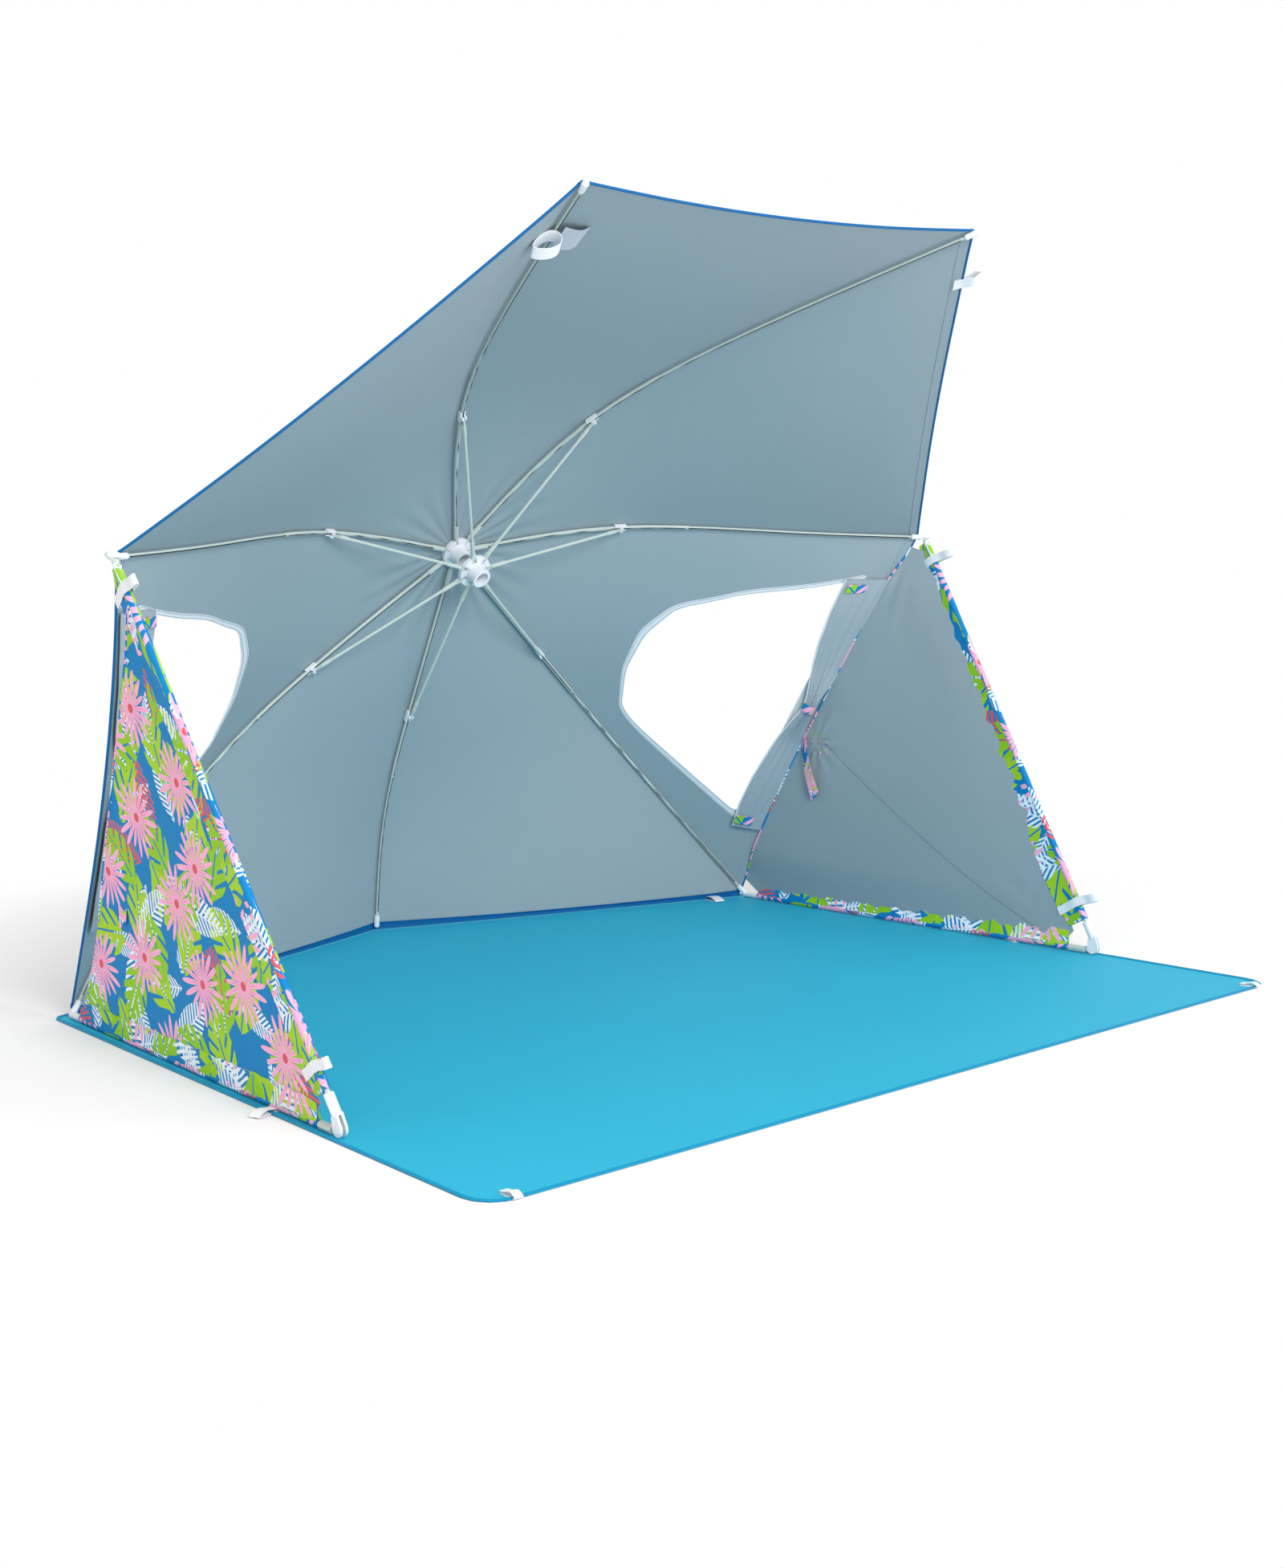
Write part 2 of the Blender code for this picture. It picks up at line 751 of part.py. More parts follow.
def make_stretcher(name, rib_frame, pivot_matrix):
    pivot = pivot_matrix.to_translation()
    inner = Vector((runner_pivot_radius - crown_pivot_radius, 0.0, runner_pivot_height - crown_pivot_height))
    reach = inner - pivot
    turn = Matrix.Rotation(-atan2(reach.z, reach.x), 4, "Y")
    frame = empty("stretcher_hinge_" + name, Matrix.Translation(pivot) @ turn, rib_frame)
    length = reach.length
    stations = (
        (stretcher_clip_ferrule[0], stretcher_clip_ferrule_radius),
        (stretcher_clip_ferrule[1], stretcher_clip_ferrule_radius),
        (stretcher_clip_ferrule[1] + rib_step, stretcher_radius),
        (length - stretcher_hub_ferrule[1] - rib_step, stretcher_radius),
        (length - stretcher_hub_ferrule[1], stretcher_hub_ferrule_radius),
        (length - stretcher_hub_ferrule[0], stretcher_hub_ferrule_radius),
    )
    rod = tube(
        "stretcher_" + name,
        [(x, 0.0, 0.0) for x, _ in stations],
        [r for _, r in stations],
        look="rod",
        parent=frame,
    )
    outer_tongue = tongue(
        "clip_tongue_" + name,
        frame,
        Matrix.Identity(4),
        tongue_thickness,
        stretcher_clip_ferrule[0] + overrun,
        clip_tongue_radius,
        clip_hole_radius,
    )
    inner_tongue = tongue(
        "hub_tongue_" + name,
        frame,
        shifted(length) @ Matrix.Rotation(pi, 4, "Z"),
        runner_tongue_thickness,
        stretcher_hub_ferrule[0] + overrun,
        tongue_end_radius,
    )
    join(rod, (outer_tongue, inner_tongue), "UNION")
    return frame


rib_frames = {}
for rib_name in rib_names:
    rib_frames[rib_name] = make_rib(rib_name)
    clip_pivot = make_clip(rib_name, rib_frames[rib_name])
    make_stretcher(rib_name, rib_frames[rib_name], clip_pivot)


# Canopy: one loft of cloth between each two ribs
def cloth_station(name, share):
    """The cloth's inner face over a rib, at a share of the way from the crown to the hem; flat on the crown."""
    hem_radius = rib_knots(name)[-1][0] - cloth_hem_setback
    radius = cloth_start_radius + share * (hem_radius - cloth_start_radius)
    point = rib_point(name, max(radius, cloth_flat_radius), cloth_offset)
    if radius < cloth_flat_radius:
        point.x *= radius / cloth_flat_radius
        point.y *= radius / cloth_flat_radius
    return point


def gore_point(first, second, share, across, scallop=0.0):
    """A point of the cloth between two ribs; it sags a little to the inside, as tight cloth does."""
    share = share * (1.0 - scallop * 4.0 * across * (1.0 - across))
    a, b = cloth_station(first, share), cloth_station(second, share)
    chord = (b - a).length
    inset = cloth_seam_gap / 2.0 / chord
    across = inset + across * (1.0 - 2.0 * inset)
    point = a.lerp(b, across)
    point.z += cloth_sag_share * chord * 4.0 * across * (1.0 - across)
    return point


def gore_shares(first, second):
    """Shares of the gore's rows: one at the crown, one at the rim of the flat part, the rest even."""
    shortest = min(rib_knots(first)[-1][0], rib_knots(second)[-1][0])
    flat = (cloth_flat_radius - cloth_start_radius) / (shortest - cloth_start_radius)
    return [0.0] + [flat + (1.0 - flat) * i / (gore_rows - 1.0) for i in range(gore_rows)]


def make_gore(name, first, second, scallop):
    shape = bmesh.new()
    rows = []
    for share in gore_shares(first, second):
        row = []
        for j in range(gore_columns + 1):
            row.append(shape.verts.new(gore_point(first, second, share, j / gore_columns, scallop)))
        rows.append(row)
    for i in range(gore_rows):
        for j in range(gore_columns):
            shape.faces.new((rows[i][j], rows[i + 1][j], rows[i + 1][j + 1], rows[i][j + 1]))
    mesh = bpy.data.meshes.new(name)
    shape.normal_update()
    if sum(face.normal.z for face in shape.faces) > 0.0:
        bmesh.ops.reverse_faces(shape, faces=shape.faces)
    shape.to_mesh(mesh)
    shape.free()
    mesh.shade_smooth()
    gore = place(bpy.data.objects.new(name, mesh), "canopy", hub)
    shell = gore.modifiers.new("cloth", "SOLIDIFY")
    shell.thickness = cloth_thickness
    shell.offset = 1.0
    shell.use_even_offset = True
    return gore


gores = (
    ("canopy_gore_top", "top_left", "top_right", "top"),
    ("canopy_gore_upper_right", "top_right", "right", "upper"),
    ("canopy_gore_side_right", "right", "back_right", "side"),
    ("canopy_gore_back_right", "back_right", "back", "back"),
    ("canopy_gore_back_left", "back", "back_left", "back"),
    ("canopy_gore_side_left", "left", "back_left", "side"),
    ("canopy_gore_upper_left", "top_left", "left", "upper"),
)
gore_objects = {}
for gore_name, first, second, kind in gores:
    gore_objects[gore_name] = make_gore(gore_name, first, second, gore_scallops[kind])


def rounded_polygon(corners, share, points):
    """Corner points joined by quadratic curves that start and end a share of the way along each side."""
    outline = []
    count = len(corners)
    for i in range(count):
        before, corner, after = (Vector(corners[(i + k) % count]) for k in (-1, 0, 1))
        start, end = corner.lerp(before, share), corner.lerp(after, share)
        for step in range(points + 1):
            t = step / points
            outline.append(start.lerp(corner, t).lerp(corner.lerp(end, t), t))
    return outline


def cut_window(side):
    """The window of one side gore, cut through by a prism along the gore's middle normal."""
    first, second = side, "back_" + side
    scallop = gore_scallops["side"]
    outline = [
        gore_point(first, second, share, across, scallop)
        for share, across in rounded_polygon(window_corner_shares, window_corner_share, window_corner_points)
    ]
    middle = sum(outline, Vector()) / len(outline)
    high, low, near, far = (gore_point(first, second, *shares, scallop) for shares in window_frame_shares)
    frame = frame_from(middle, low - high, (low - high).cross(far - near))
    into = frame.inverted()
    flat = [(into @ point).to_2d() for point in outline]
    window = flat_outline("window_cut_" + side, flat, 2.0 * window_cut_half, parent=hub, matrix=frame, tool=True)
    join(gore_objects["canopy_gore_side_" + side], (window,), "DIFFERENCE")


def smooth_share(value):
    return value * value * (3.0 - 2.0 * value)


def curtain_size(share):
    """Half width and half depth of the gathered curtain, and its centre's height over the cloth. It is
    wide and flat at its ends, and round where it is drawn in at the tie, which lies between it and the
    cloth."""
    reach = abs(share - curtain_waist_share) / curtain_waist_share
    past_tie = max(0.0, reach - curtain_waist_reach_share) / (1.0 - curtain_waist_reach_share)
    spread = past_tie**curtain_spread_share
    half_width = curtain_waist_radius + (curtain_end_half_width - curtain_waist_radius) * spread
    half_depth = curtain_waist_radius + (curtain_end_half_depth - curtain_waist_radius) * spread
    drawn = smooth_share(max(0.0, 1.0 - spread / curtain_tie_reach_share))
    height = half_depth * (1.0 + curtain_lobe_share) + 2.0 * touch_gap
    return half_width, half_depth, height + drawn * (tie_thickness + 2.0 * touch_gap)


def curtain_line(side, share):
    hem_share, start, end = curtain_shares
    first, second = side, "back_" + side
    across = start + share * (end - start)
    on_cloth = gore_point(first, second, hem_share, across)
    tangent_a = gore_point(first, second, hem_share, across + curtain_slope_step) - on_cloth
    tangent_s = gore_point(first, second, hem_share - curtain_slope_step, across) - on_cloth
    inward = tangent_a.cross(tangent_s).normalized()
    if inward.z < 0.0:
        inward = -inward
    return on_cloth, inward, tangent_a.normalized()


def make_curtain(side):
    """Cloth gathered into long folds, as a loft of lobed rings."""
    shape = bmesh.new()
    rings = []
    for i in range(curtain_stations):
        share = i / (curtain_stations - 1.0)
        on_cloth, inward, along = curtain_line(side, share)
        half_width, half_depth, height = curtain_size(share)
        centre = on_cloth + inward * height
        other = along.cross(inward).normalized()
        ring = []
        for j in range(curtain_sides):
            angle = 2.0 * pi * j / curtain_sides
            fold = 1.0 + curtain_lobe_share * cos(curtain_lobes * angle + curtain_twist * share)
            depth, width = half_depth * fold * cos(angle), half_width * fold * sin(angle)
            ring.append(shape.verts.new(centre + inward * depth + other * width))
        rings.append(ring)
    for low, high in zip(rings, rings[1:]):
        for j in range(curtain_sides):
            k = (j + 1) % curtain_sides
            shape.faces.new((low[j], low[k], high[k], high[j]))
    shape.faces.new(rings[0])
    shape.faces.new(rings[-1])
    from_bmesh("window_curtain_" + side, shape, "canopy", hub)

    on_cloth, inward, along = curtain_line(side, curtain_waist_share)
    centre = on_cloth + inward * curtain_size(curtain_waist_share)[2]
    inner = curtain_waist_radius * (1.0 + curtain_lobe_share) + 2.0 * touch_gap
    half = tie_width / 2.0
    tie_profile = (
        (inner, half),
        (inner + tie_thickness, half),
        (inner + tie_thickness, -half),
        (inner, -half),
    )
    tie_frame = frame_from(centre, inward, along)
    turned(
        "curtain_tie_" + side, tie_profile, tie_steps, closed=True, look="tie", parent=hub, matrix=tie_frame
    )


for side in ("left", "right"):
    cut_window(side)
    make_curtain(side)


# Ground sheet: a flat outline with round front corners and its back edge drawn to the three rib ends
def arc_corner(corner, before, after, radius, points):
    corner, before, after = Vector(corner), Vector(before), Vector(after)
    a, b = (before - corner).normalized(), (after - corner).normalized()
    half = acos(max(-1.0, min(1.0, a.dot(b)))) / 2.0
    start, end = corner + a * radius / tan(half), corner + b * radius / tan(half)
    centre = corner + (a + b).normalized() * radius / sin(half)
    arc = []
    for step in range(points + 1):
        spot = start.lerp(end, step / points) - centre
        arc.append(centre + spot.normalized() * radius)
    return arc


sheet_corners = {
    "front_left": (-sheet_front_half, sheet_front),
    "front_right": (sheet_front_half, sheet_front),
    "back_right": (sheet_corner_half, sheet_corner_back),
    "back_middle": (0.0, sheet_middle_back),
    "back_left": (-sheet_corner_half, sheet_corner_back),
}
sheet_outline = arc_corner(
    sheet_corners["front_left"],
    sheet_corners["back_left"],
    sheet_corners["front_right"],
    sheet_front_corner_radius,
    sheet_corner_points,
)
sheet_outline += arc_corner(
    sheet_corners["front_right"],
    sheet_corners["front_left"],
    sheet_corners["back_right"],
    sheet_front_corner_radius,
    sheet_corner_points,
)
for label in ("back_right", "back_middle", "back_left"):
    sheet_outline.append(Vector(sheet_corners[label]))
flat_outline(
    "ground_sheet", sheet_outline, sheet_thickness, look="sheet", matrix=shifted(z=sheet_thickness / 2.0)
)


# Wings
axis_way = Vector((0.0, -cos(axis_tilt), -sin(axis_tilt)))


def offset_way(start, end, normal, side):
    """Direction of a rod through end whose line passes beside start by the foot's pivot offset."""
    way = end - start
    turn = Matrix.Rotation(side * asin(foot_pivot_offset / way.length), 3, normal)
    return (turn @ way).normalized()


def wing_lines(side):
    """World points and directions of one wing. Both hinges lie beside their rods' lines, inside the
    bend, so the front rod's direction and the hinges' axes are found together."""
    sign = -1.0 if side == "left" else 1.0
    corner = "back_" + side
    tip_radius = rib_knots(side)[-1][0]
    tip = hub_matrix @ rib_point(side, tip_radius)
    before = hub_matrix @ rib_point(side, tip_radius - rib_ferrule_start)
    tip_way = (tip - before).normalized()
    tangential = axis_way.cross(tip_way).normalized()
    outward = tangential.cross(tip_way).normalized()
    hinge = tip + tip_way * wing_pivot_reach + outward * wing_pivot_rise
    corner_tip = hub_matrix @ rib_point(corner, rib_knots(corner)[-1][0])
    lowest = foot_pivot_offset + ground_rod_ferrule_radius
    foot_base = sheet_thickness + foot_clear_of_sheet
    foot = Vector((sign * foot_half_spread, foot_forward, foot_base + max(lowest, foot_ear_radius)))
    up_rod = (hinge - foot).normalized()
    for _ in range(wing_line_passes):
        normal = up_rod.cross(corner_tip - foot).normalized()
        # The round ears lean with the wing, so the foot's height follows from their lowest edge
        lean = abs(normal.z)
        ear_reach = foot_ear_radius * sqrt(1.0 - lean * lean)
        ear_reach += (foot_ear_gap / 2.0 + foot_ear_thickness) * lean
        foot.z = foot_base + max(lowest, ear_reach)
        pin_axis = (tangential - up_rod * tangential.dot(up_rod)).normalized()
        rod_top = hinge + pin_axis.cross(up_rod) * wing_eye_offset
        rod_foot = foot - normal.cross(up_rod) * foot_pivot_offset
        up_rod = (rod_top - rod_foot).normalized()
    normal = up_rod.cross(corner_tip - foot).normalized()
    pin_axis = (tangential - up_rod * tangential.dot(up_rod)).normalized()
    return tip_way, hinge, foot, corner_tip, up_rod, pin_axis, normal


def make_wing(side):
    tip_way, hinge, foot, corner_tip, up_rod, pin_axis, normal = wing_lines(side)
    back_way = offset_way(foot, corner_tip, normal, -1.0)
    rod_length = (hinge - foot).dot(up_rod)
    ground_length = (corner_tip - foot).dot(back_way)

    # Knuckle on the side rib's cap: an ear and a pin square to the front rod
    ear_frame = frame_from(hinge, tip_way - pin_axis * tip_way.dot(pin_axis), pin_axis)
    ear_side = -1.0 if side == "left" else 1.0
    ear_shift = ear_side * (knuckle_thickness + knuckle_flat_gap)
    cap = bpy.data.objects["rib_tip_" + side]
    rib_frame = rib_frames[side]
    into_rib = rib_frame.matrix_world.inverted()
    ear_outline = leaf_outline(
        knuckle_radius,
        wing_pivot_reach + tip_cap_wall,
        wing_pivot_rise - ear_base_half,
        wing_pivot_rise + ear_base_half,
    )
    turn_back = Matrix.Rotation(pi, 4, "Z")
    ear = flat_outline(
        "wing_ear_" + side,
        ear_outline,
        knuckle_thickness,
        parent=rib_frame,
        matrix=into_rib @ ear_frame @ shifted(z=ear_shift) @ turn_back,
        tool=True,
    )
    pin_length = 2.0 * knuckle_thickness + knuckle_flat_gap + overrun
    pin = cylinder(
        "wing_pin_" + side,
        knuckle_pin_radius,
        pin_length,
        parent=rib_frame,
        matrix=into_rib @ ear_frame @ shifted(z=ear_shift / 2.0),
        tool=True,
        sides=small_sides,
    )
    join(cap, (ear, pin), "UNION")

    # Front rod: an eye on the pin, a ferrule, and the bare rod down into the foot's socket
    rod_frame_matrix = frame_from(hinge, -up_rod, pin_axis)
    rod_frame = empty("wing_hinge_" + side, rod_frame_matrix)
    socket_bottom = rod_length - (foot_socket_end - foot_socket_depth)
    rod_stations_at = (
        (wing_ferrule_start, wing_ferrule_radius),
        (wing_ferrule_length, wing_ferrule_radius),
        (wing_ferrule_length + rib_step, wing_rod_radius),
        (socket_bottom - touch_gap, wing_rod_radius),
    )
    rod = tube(
        "wing_front_rod_" + side,
        [(x, -wing_eye_offset, 0.0) for x, _ in rod_stations_at],
        [r for _, r in rod_stations_at],
        look="rod",
        parent=rod_frame,
    )
    eye = flat_outline(
        "wing_eye_" + side,
        leaf_outline(
            knuckle_radius,
            wing_ferrule_start + overrun,
            -wing_eye_offset - eye_base_half,
            -wing_eye_offset + eye_base_half,
        ),
        knuckle_thickness,
        parent=rod_frame,
        tool=True,
    )
    eye_hole = cylinder(
        "wing_eye_hole_" + side,
        knuckle_hole_radius,
        knuckle_thickness + 2.0 * overrun,
        parent=rod_frame,
        tool=True,
        sides=small_sides,
    )
    join(rod, (eye,), "UNION")
    join(rod, (eye_hole,), "DIFFERENCE")

    # Foot: a socket for the front rod and two round ears that hold the ground rod's tongue. The pivot
    # lies inside both rods' lines, so that the rods can fold side by side
    foot_matrix = frame_from(foot, up_rod, normal)
    foot_frame = empty("wing_foot_frame_" + side, foot_matrix)
    socket = cylinder(
        "wing_foot_" + side,
        foot_socket_radius,
        foot_socket_end - foot_socket_start,
        look="plastic",
        parent=foot_frame,
        matrix=shifted((foot_socket_start + foot_socket_end) / 2.0, -foot_pivot_offset) @ ALONG_X,
    )
    ears = []
    ear_offset = foot_ear_gap / 2.0 + foot_ear_thickness / 2.0
    for way, label in ((-1.0, "a"), (1.0, "b")):
        ears.append(
            flat_outline(
                "foot_ear_" + label + "_" + side,
                leaf_outline(
                    foot_ear_radius,
                    foot_socket_start + foot_ear_thickness,
                    -foot_pivot_offset - foot_socket_radius,
                    -foot_pivot_offset + foot_socket_radius,
                ),
                foot_ear_thickness,
                parent=foot_frame,
                matrix=shifted(z=way * ear_offset),
                tool=True,
            )
        )
    foot_pin = cylinder(
        "foot_pin_" + side,
        foot_pin_radius,
        foot_ear_gap + foot_ear_thickness,
        parent=foot_frame,
        tool=True,
        sides=small_sides,
    )
    socket_bore = cylinder(
        "foot_bore_" + side,
        wing_rod_radius + touch_gap,
        foot_socket_depth + overrun,
        parent=foot_frame,
        matrix=shifted(foot_socket_end - (foot_socket_depth - overrun) / 2.0, -foot_pivot_offset) @ ALONG_X,
        tool=True,
    )
    join(socket, ears, "UNION")
    join(socket, (foot_pin,), "UNION")
    join(socket, (socket_bore,), "DIFFERENCE")

    # Ground rod: from the foot back to the corner, where its end meets the corner cap's stub
    ground_matrix = frame_from(foot, back_way, normal)
    ground_frame = empty("ground_rod_hinge_" + side, ground_matrix)
    reach = ground_length - corner_socket_length
    ground_stations = (
        (ground_rod_ferrule[0], ground_rod_ferrule_radius),
        (ground_rod_ferrule[1], ground_rod_ferrule_radius),
        (ground_rod_ferrule[1] + rib_step, wing_rod_radius),
        (reach, wing_rod_radius),
    )
    ground_rod = tube(
        "wing_ground_rod_" + side,
        [(x, foot_pivot_offset, 0.0) for x, _ in ground_stations],
        [r for _, r in ground_stations],
        look="rod",
        parent=ground_frame,
    )
    foot_tongue = flat_outline(
        "foot_tongue_" + side,
        leaf_outline(
            foot_tongue_radius,
            ground_rod_ferrule[0] + overrun,
            foot_pivot_offset - foot_tongue_half,
            foot_pivot_offset + foot_tongue_half,
        ),
        foot_tongue_thickness,
        parent=ground_frame,
        tool=True,
    )
    tongue_hole = cylinder(
        "foot_tongue_hole_" + side,
        foot_pin_hole,
        foot_tongue_thickness + 2.0 * overrun,
        parent=ground_frame,
        tool=True,
        sides=small_sides,
    )
    join(ground_rod, (foot_tongue,), "UNION")
    join(ground_rod, (tongue_hole,), "DIFFERENCE")

    # Corner cap: a stub on the corner rib's cap that points along the ground rod and meets its end
    corner = "back_" + side
    corner_frame = rib_frames[corner]
    into_corner = corner_frame.matrix_world.inverted()
    stub_start = reach + corner_rod_gap
    stub_end = ground_length + corner_stub_past
    stub = cylinder(
        "corner_stub_" + side,
        wing_ferrule_radius,
        stub_end - stub_start,
        parent=corner_frame,
        matrix=into_corner @ ground_matrix @ shifted((stub_start + stub_end) / 2.0, foot_pivot_offset) @ ALONG_X,
        tool=True,
        sides=small_sides,
    )
    corner_cap = bpy.data.objects["rib_tip_" + corner]
    bore_depth = tip_cap_length - tip_cap_wall
    bore = cylinder(
        "corner_bore_" + side,
        tip_cap_bore + bore_relief,
        bore_depth + overrun,
        parent=corner_frame,
        matrix=corner_cap.matrix_local @ shifted(z=-tip_cap_wall - (bore_depth + overrun) / 2.0),
        tool=True,
    )
    join(corner_cap, (stub,), "UNION")
    join(corner_cap, (bore,), "DIFFERENCE")

    # Wing panel: the triangle of cloth between the front rod, the ground rod and the canopy's hem
    def in_plane(point):
        local = foot_matrix.inverted() @ point
        return Vector((local.x, local.y))

    base = Vector((0.0, 0.0))
    top, corner_spot = in_plane(hinge), in_plane(corner_tip)
    along_ground = in_plane(foot + back_way)
    into_panel = Vector((along_ground.y, -along_ground.x))
    if into_panel.dot(top) < 0.0:
        into_panel = -into_panel
    rod_inset = wing_rod_radius - foot_pivot_offset
    front_inset = Vector((0.0, rod_inset + panel_rod_gap))
    ground_inset = into_panel * (rod_inset + panel_ground_gap)
    panel_top = Vector((top.x - panel_top_start, 0.0)) + front_inset
    panel_foot = Vector((panel_foot_start, 0.0)) + front_inset
    panel_low = along_ground * panel_foot_start + ground_inset
    panel_corner = along_ground * (corner_spot.length - panel_corner_start) + ground_inset
    outline = [panel_top, panel_foot, panel_low, panel_corner]
    # Its back edge meets the canopy's hem, which runs from the side rib's end to the corner rib's
    back_length = (top - corner_spot).length
    back_line = (top - corner_spot) / back_length
    inward = Vector((-back_line.y, back_line.x))
    if inward.dot(base - corner_spot) < 0.0:
        inward = -inward
    back_run = back_length - panel_corner_start - panel_top_start
    for step in range(panel_back_points + 1):
        t = step / panel_back_points
        spot = corner_spot + back_line * (panel_corner_start + back_run * t)
        outline.append(spot + inward * (panel_back_inset - panel_back_bow * sin(pi * t)))
    flat_outline("wing_panel_" + side, outline, panel_thickness, look="printed", parent=foot_frame)


for side in ("left", "right"):
    make_wing(side)


def stand_in_frame():
    """Shift everything so that the origin is the middle of the footprint, on the ground."""
    bpy.context.view_layer.update()
    graph = bpy.context.evaluated_depsgraph_get()
    low, high = np.full(3, np.inf), np.full(3, -np.inf)
    for thing in tent.objects:
        if thing.type != "MESH":
            continue
        shown = thing.evaluated_get(graph)
        for vertex in shown.data.vertices:
            spot = np.array(thing.matrix_world @ vertex.co)
            low, high = np.minimum(low, spot), np.maximum(high, spot)
    shift = Vector((-(low[0] + high[0]) / 2.0, -(low[1] + high[1]) / 2.0, -low[2]))
    for thing in list(tent.objects) + list(cutters.objects):
        if thing.parent is None:
            thing.location += shift
    bpy.context.view_layer.update()
    return shift


stand_in_frame()
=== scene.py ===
"""Looks of a beach tent built like a tilted umbrella. Metres, row frame, +Z up, open side to -Y."""
import json
from math import cos, pi, radians, sin

import bpy
import numpy as np
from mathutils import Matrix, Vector


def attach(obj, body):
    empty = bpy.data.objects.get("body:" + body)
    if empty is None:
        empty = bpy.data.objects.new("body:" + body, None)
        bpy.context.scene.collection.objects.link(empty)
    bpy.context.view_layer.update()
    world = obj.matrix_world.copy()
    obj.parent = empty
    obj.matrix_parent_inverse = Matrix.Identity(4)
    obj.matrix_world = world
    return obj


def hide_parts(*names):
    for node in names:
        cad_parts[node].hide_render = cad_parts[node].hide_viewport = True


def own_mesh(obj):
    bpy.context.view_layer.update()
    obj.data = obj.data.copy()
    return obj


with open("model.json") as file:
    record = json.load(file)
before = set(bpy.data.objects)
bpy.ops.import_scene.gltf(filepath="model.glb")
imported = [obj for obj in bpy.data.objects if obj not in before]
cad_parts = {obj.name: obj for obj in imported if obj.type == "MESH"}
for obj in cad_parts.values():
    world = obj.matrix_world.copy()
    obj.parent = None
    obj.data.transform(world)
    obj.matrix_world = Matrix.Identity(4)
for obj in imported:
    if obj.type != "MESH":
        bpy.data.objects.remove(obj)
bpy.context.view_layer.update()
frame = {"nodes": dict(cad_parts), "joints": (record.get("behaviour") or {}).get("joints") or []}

nodes = frame["nodes"]
joints = {j["name"]: j for j in frame["joints"]}

# ---------------------------------------------------------------- frame of the umbrella
# Hub coordinates: origin at the crown, z along the umbrella's axis. A rib is a line (r, height) in its plane.
TILT = radians(32.86)
CROWN = np.array((0.0, 0.4525, 0.7705))
RIBS = ("back", "back_right", "right", "top_right", "top_left", "left", "back_left")
KIND = {"back": "back", "back_right": "corner", "back_left": "corner", "right": "side", "left": "side",
        "top_right": "top", "top_left": "top"}
HINGE_KNOT, CLIP_KNOT = (0.024, 0.003), (0.355, 0.0465)
MIDS = {"top": (0.700, 0.218), "side": (0.700, 0.188), "corner": (0.700, 0.150), "back": (0.600, 0.100)}
TIPS = {"top": (1.034, 0.430), "side": (0.954, 0.295), "corner": (1.047, None), "back": (0.786, None)}
END_HEIGHT = 0.0078  # of the lower ribs' ends over the ground
SLOPE_STEP = 6e-4
# Name: first rib, second rib, kind, seed of its folds
GORES = {
    "canopy_gore_top": ("top_right", "top_left", "top", 0.3),
    "canopy_gore_upper_right": ("right", "top_right", "upper", 1.1),
    "canopy_gore_side_right": ("right", "back_right", "side", 2.2),
    "canopy_gore_back_right": ("back", "back_right", "back", 3.4),
    "canopy_gore_back_left": ("back_left", "back", "back", 4.1),
    "canopy_gore_side_left": ("left", "back_left", "side", 5.3),
    "canopy_gore_upper_left": ("top_left", "left", "upper", 6.2),
}
SCALLOPS = {"top": 0.022, "upper": 0.016, "side": 0.024, "back": 0.0}
SAG_SHARE = 0.012
CLOTH_LIFT = 0.0068  # of the cloth over the rib's line
CLOTH_START, CLOTH_INSET, FLAT_RADIUS = 0.0165, 0.009, 0.034
c, s = cos(radians(90.0) + TILT), sin(radians(90.0) + TILT)
HUB = np.array(((1.0, 0.0, 0.0), (0.0, c, -s), (0.0, s, c)))
AXIS = HUB[:, 2]
UP = np.array((0.0, 0.0, 1.0))


def to_world(p):
    return np.asarray(p) @ HUB.T + CROWN


def rib_turn(name):
    return radians(-90.0) + RIBS.index(name) * 2.0 * pi / len(RIBS)


def sideways(rib):
    """World direction square to a rib's plane."""
    turn = rib_turn(rib)
    return HUB @ np.array((-sin(turn), cos(turn), 0.0))


def rib_knots(name):
    tip_r, tip_h = TIPS[KIND[name]]
    if tip_h is None:
        down = -sin(rib_turn(name)) * cos(TILT)
        tip_h = (CROWN[2] - END_HEIGHT - tip_r * down) / sin(TILT)
    return (HINGE_KNOT, CLIP_KNOT, MIDS[KIND[name]], (tip_r, tip_h))


def rib_end(name):
    return rib_knots(name)[-1][0]


def rib_height(name, x):
    """Natural cubic through the rib's four knots, as in the frame."""
    k = rib_knots(name)
    xs, ys = np.array([p[0] for p in k]), np.array([p[1] for p in k])
    gaps = np.diff(xs)
    rows, loads = np.eye(4), np.zeros(4)
    for i in (1, 2):
        rows[i, i - 1:i + 2] = gaps[i - 1], 2.0 * (gaps[i - 1] + gaps[i]), gaps[i]
        loads[i] = 6.0 * ((ys[i + 1] - ys[i]) / gaps[i] - (ys[i] - ys[i - 1]) / gaps[i - 1])
    m = np.linalg.solve(rows, loads)
    x = np.asarray(x, float)
    j = np.clip(np.searchsorted(xs, x) - 1, 0, 2)
    a, b, g = xs[j + 1] - x, x - xs[j], gaps[j]
    return ((m[j] * a**3 + m[j + 1] * b**3) / (6 * g) + (ys[j] / g - m[j] * g / 6) * a
            + (ys[j + 1] / g - m[j + 1] * g / 6) * b)


def rib_point(name, r, outward=0.0):
    """Hub coordinates of a point of the rib's line, moved square to the rib towards the outside."""
    r = np.asarray(r, float)
    slope = (rib_height(name, r + SLOPE_STEP) - rib_height(name, r - SLOPE_STEP)) / (2 * SLOPE_STEP)
    n = np.hypot(slope, 1.0)
    rr, h, t = r + outward * slope / n, rib_height(name, r) - outward / n, rib_turn(name)
    return np.stack((rr * cos(t), rr * sin(t), h), -1)


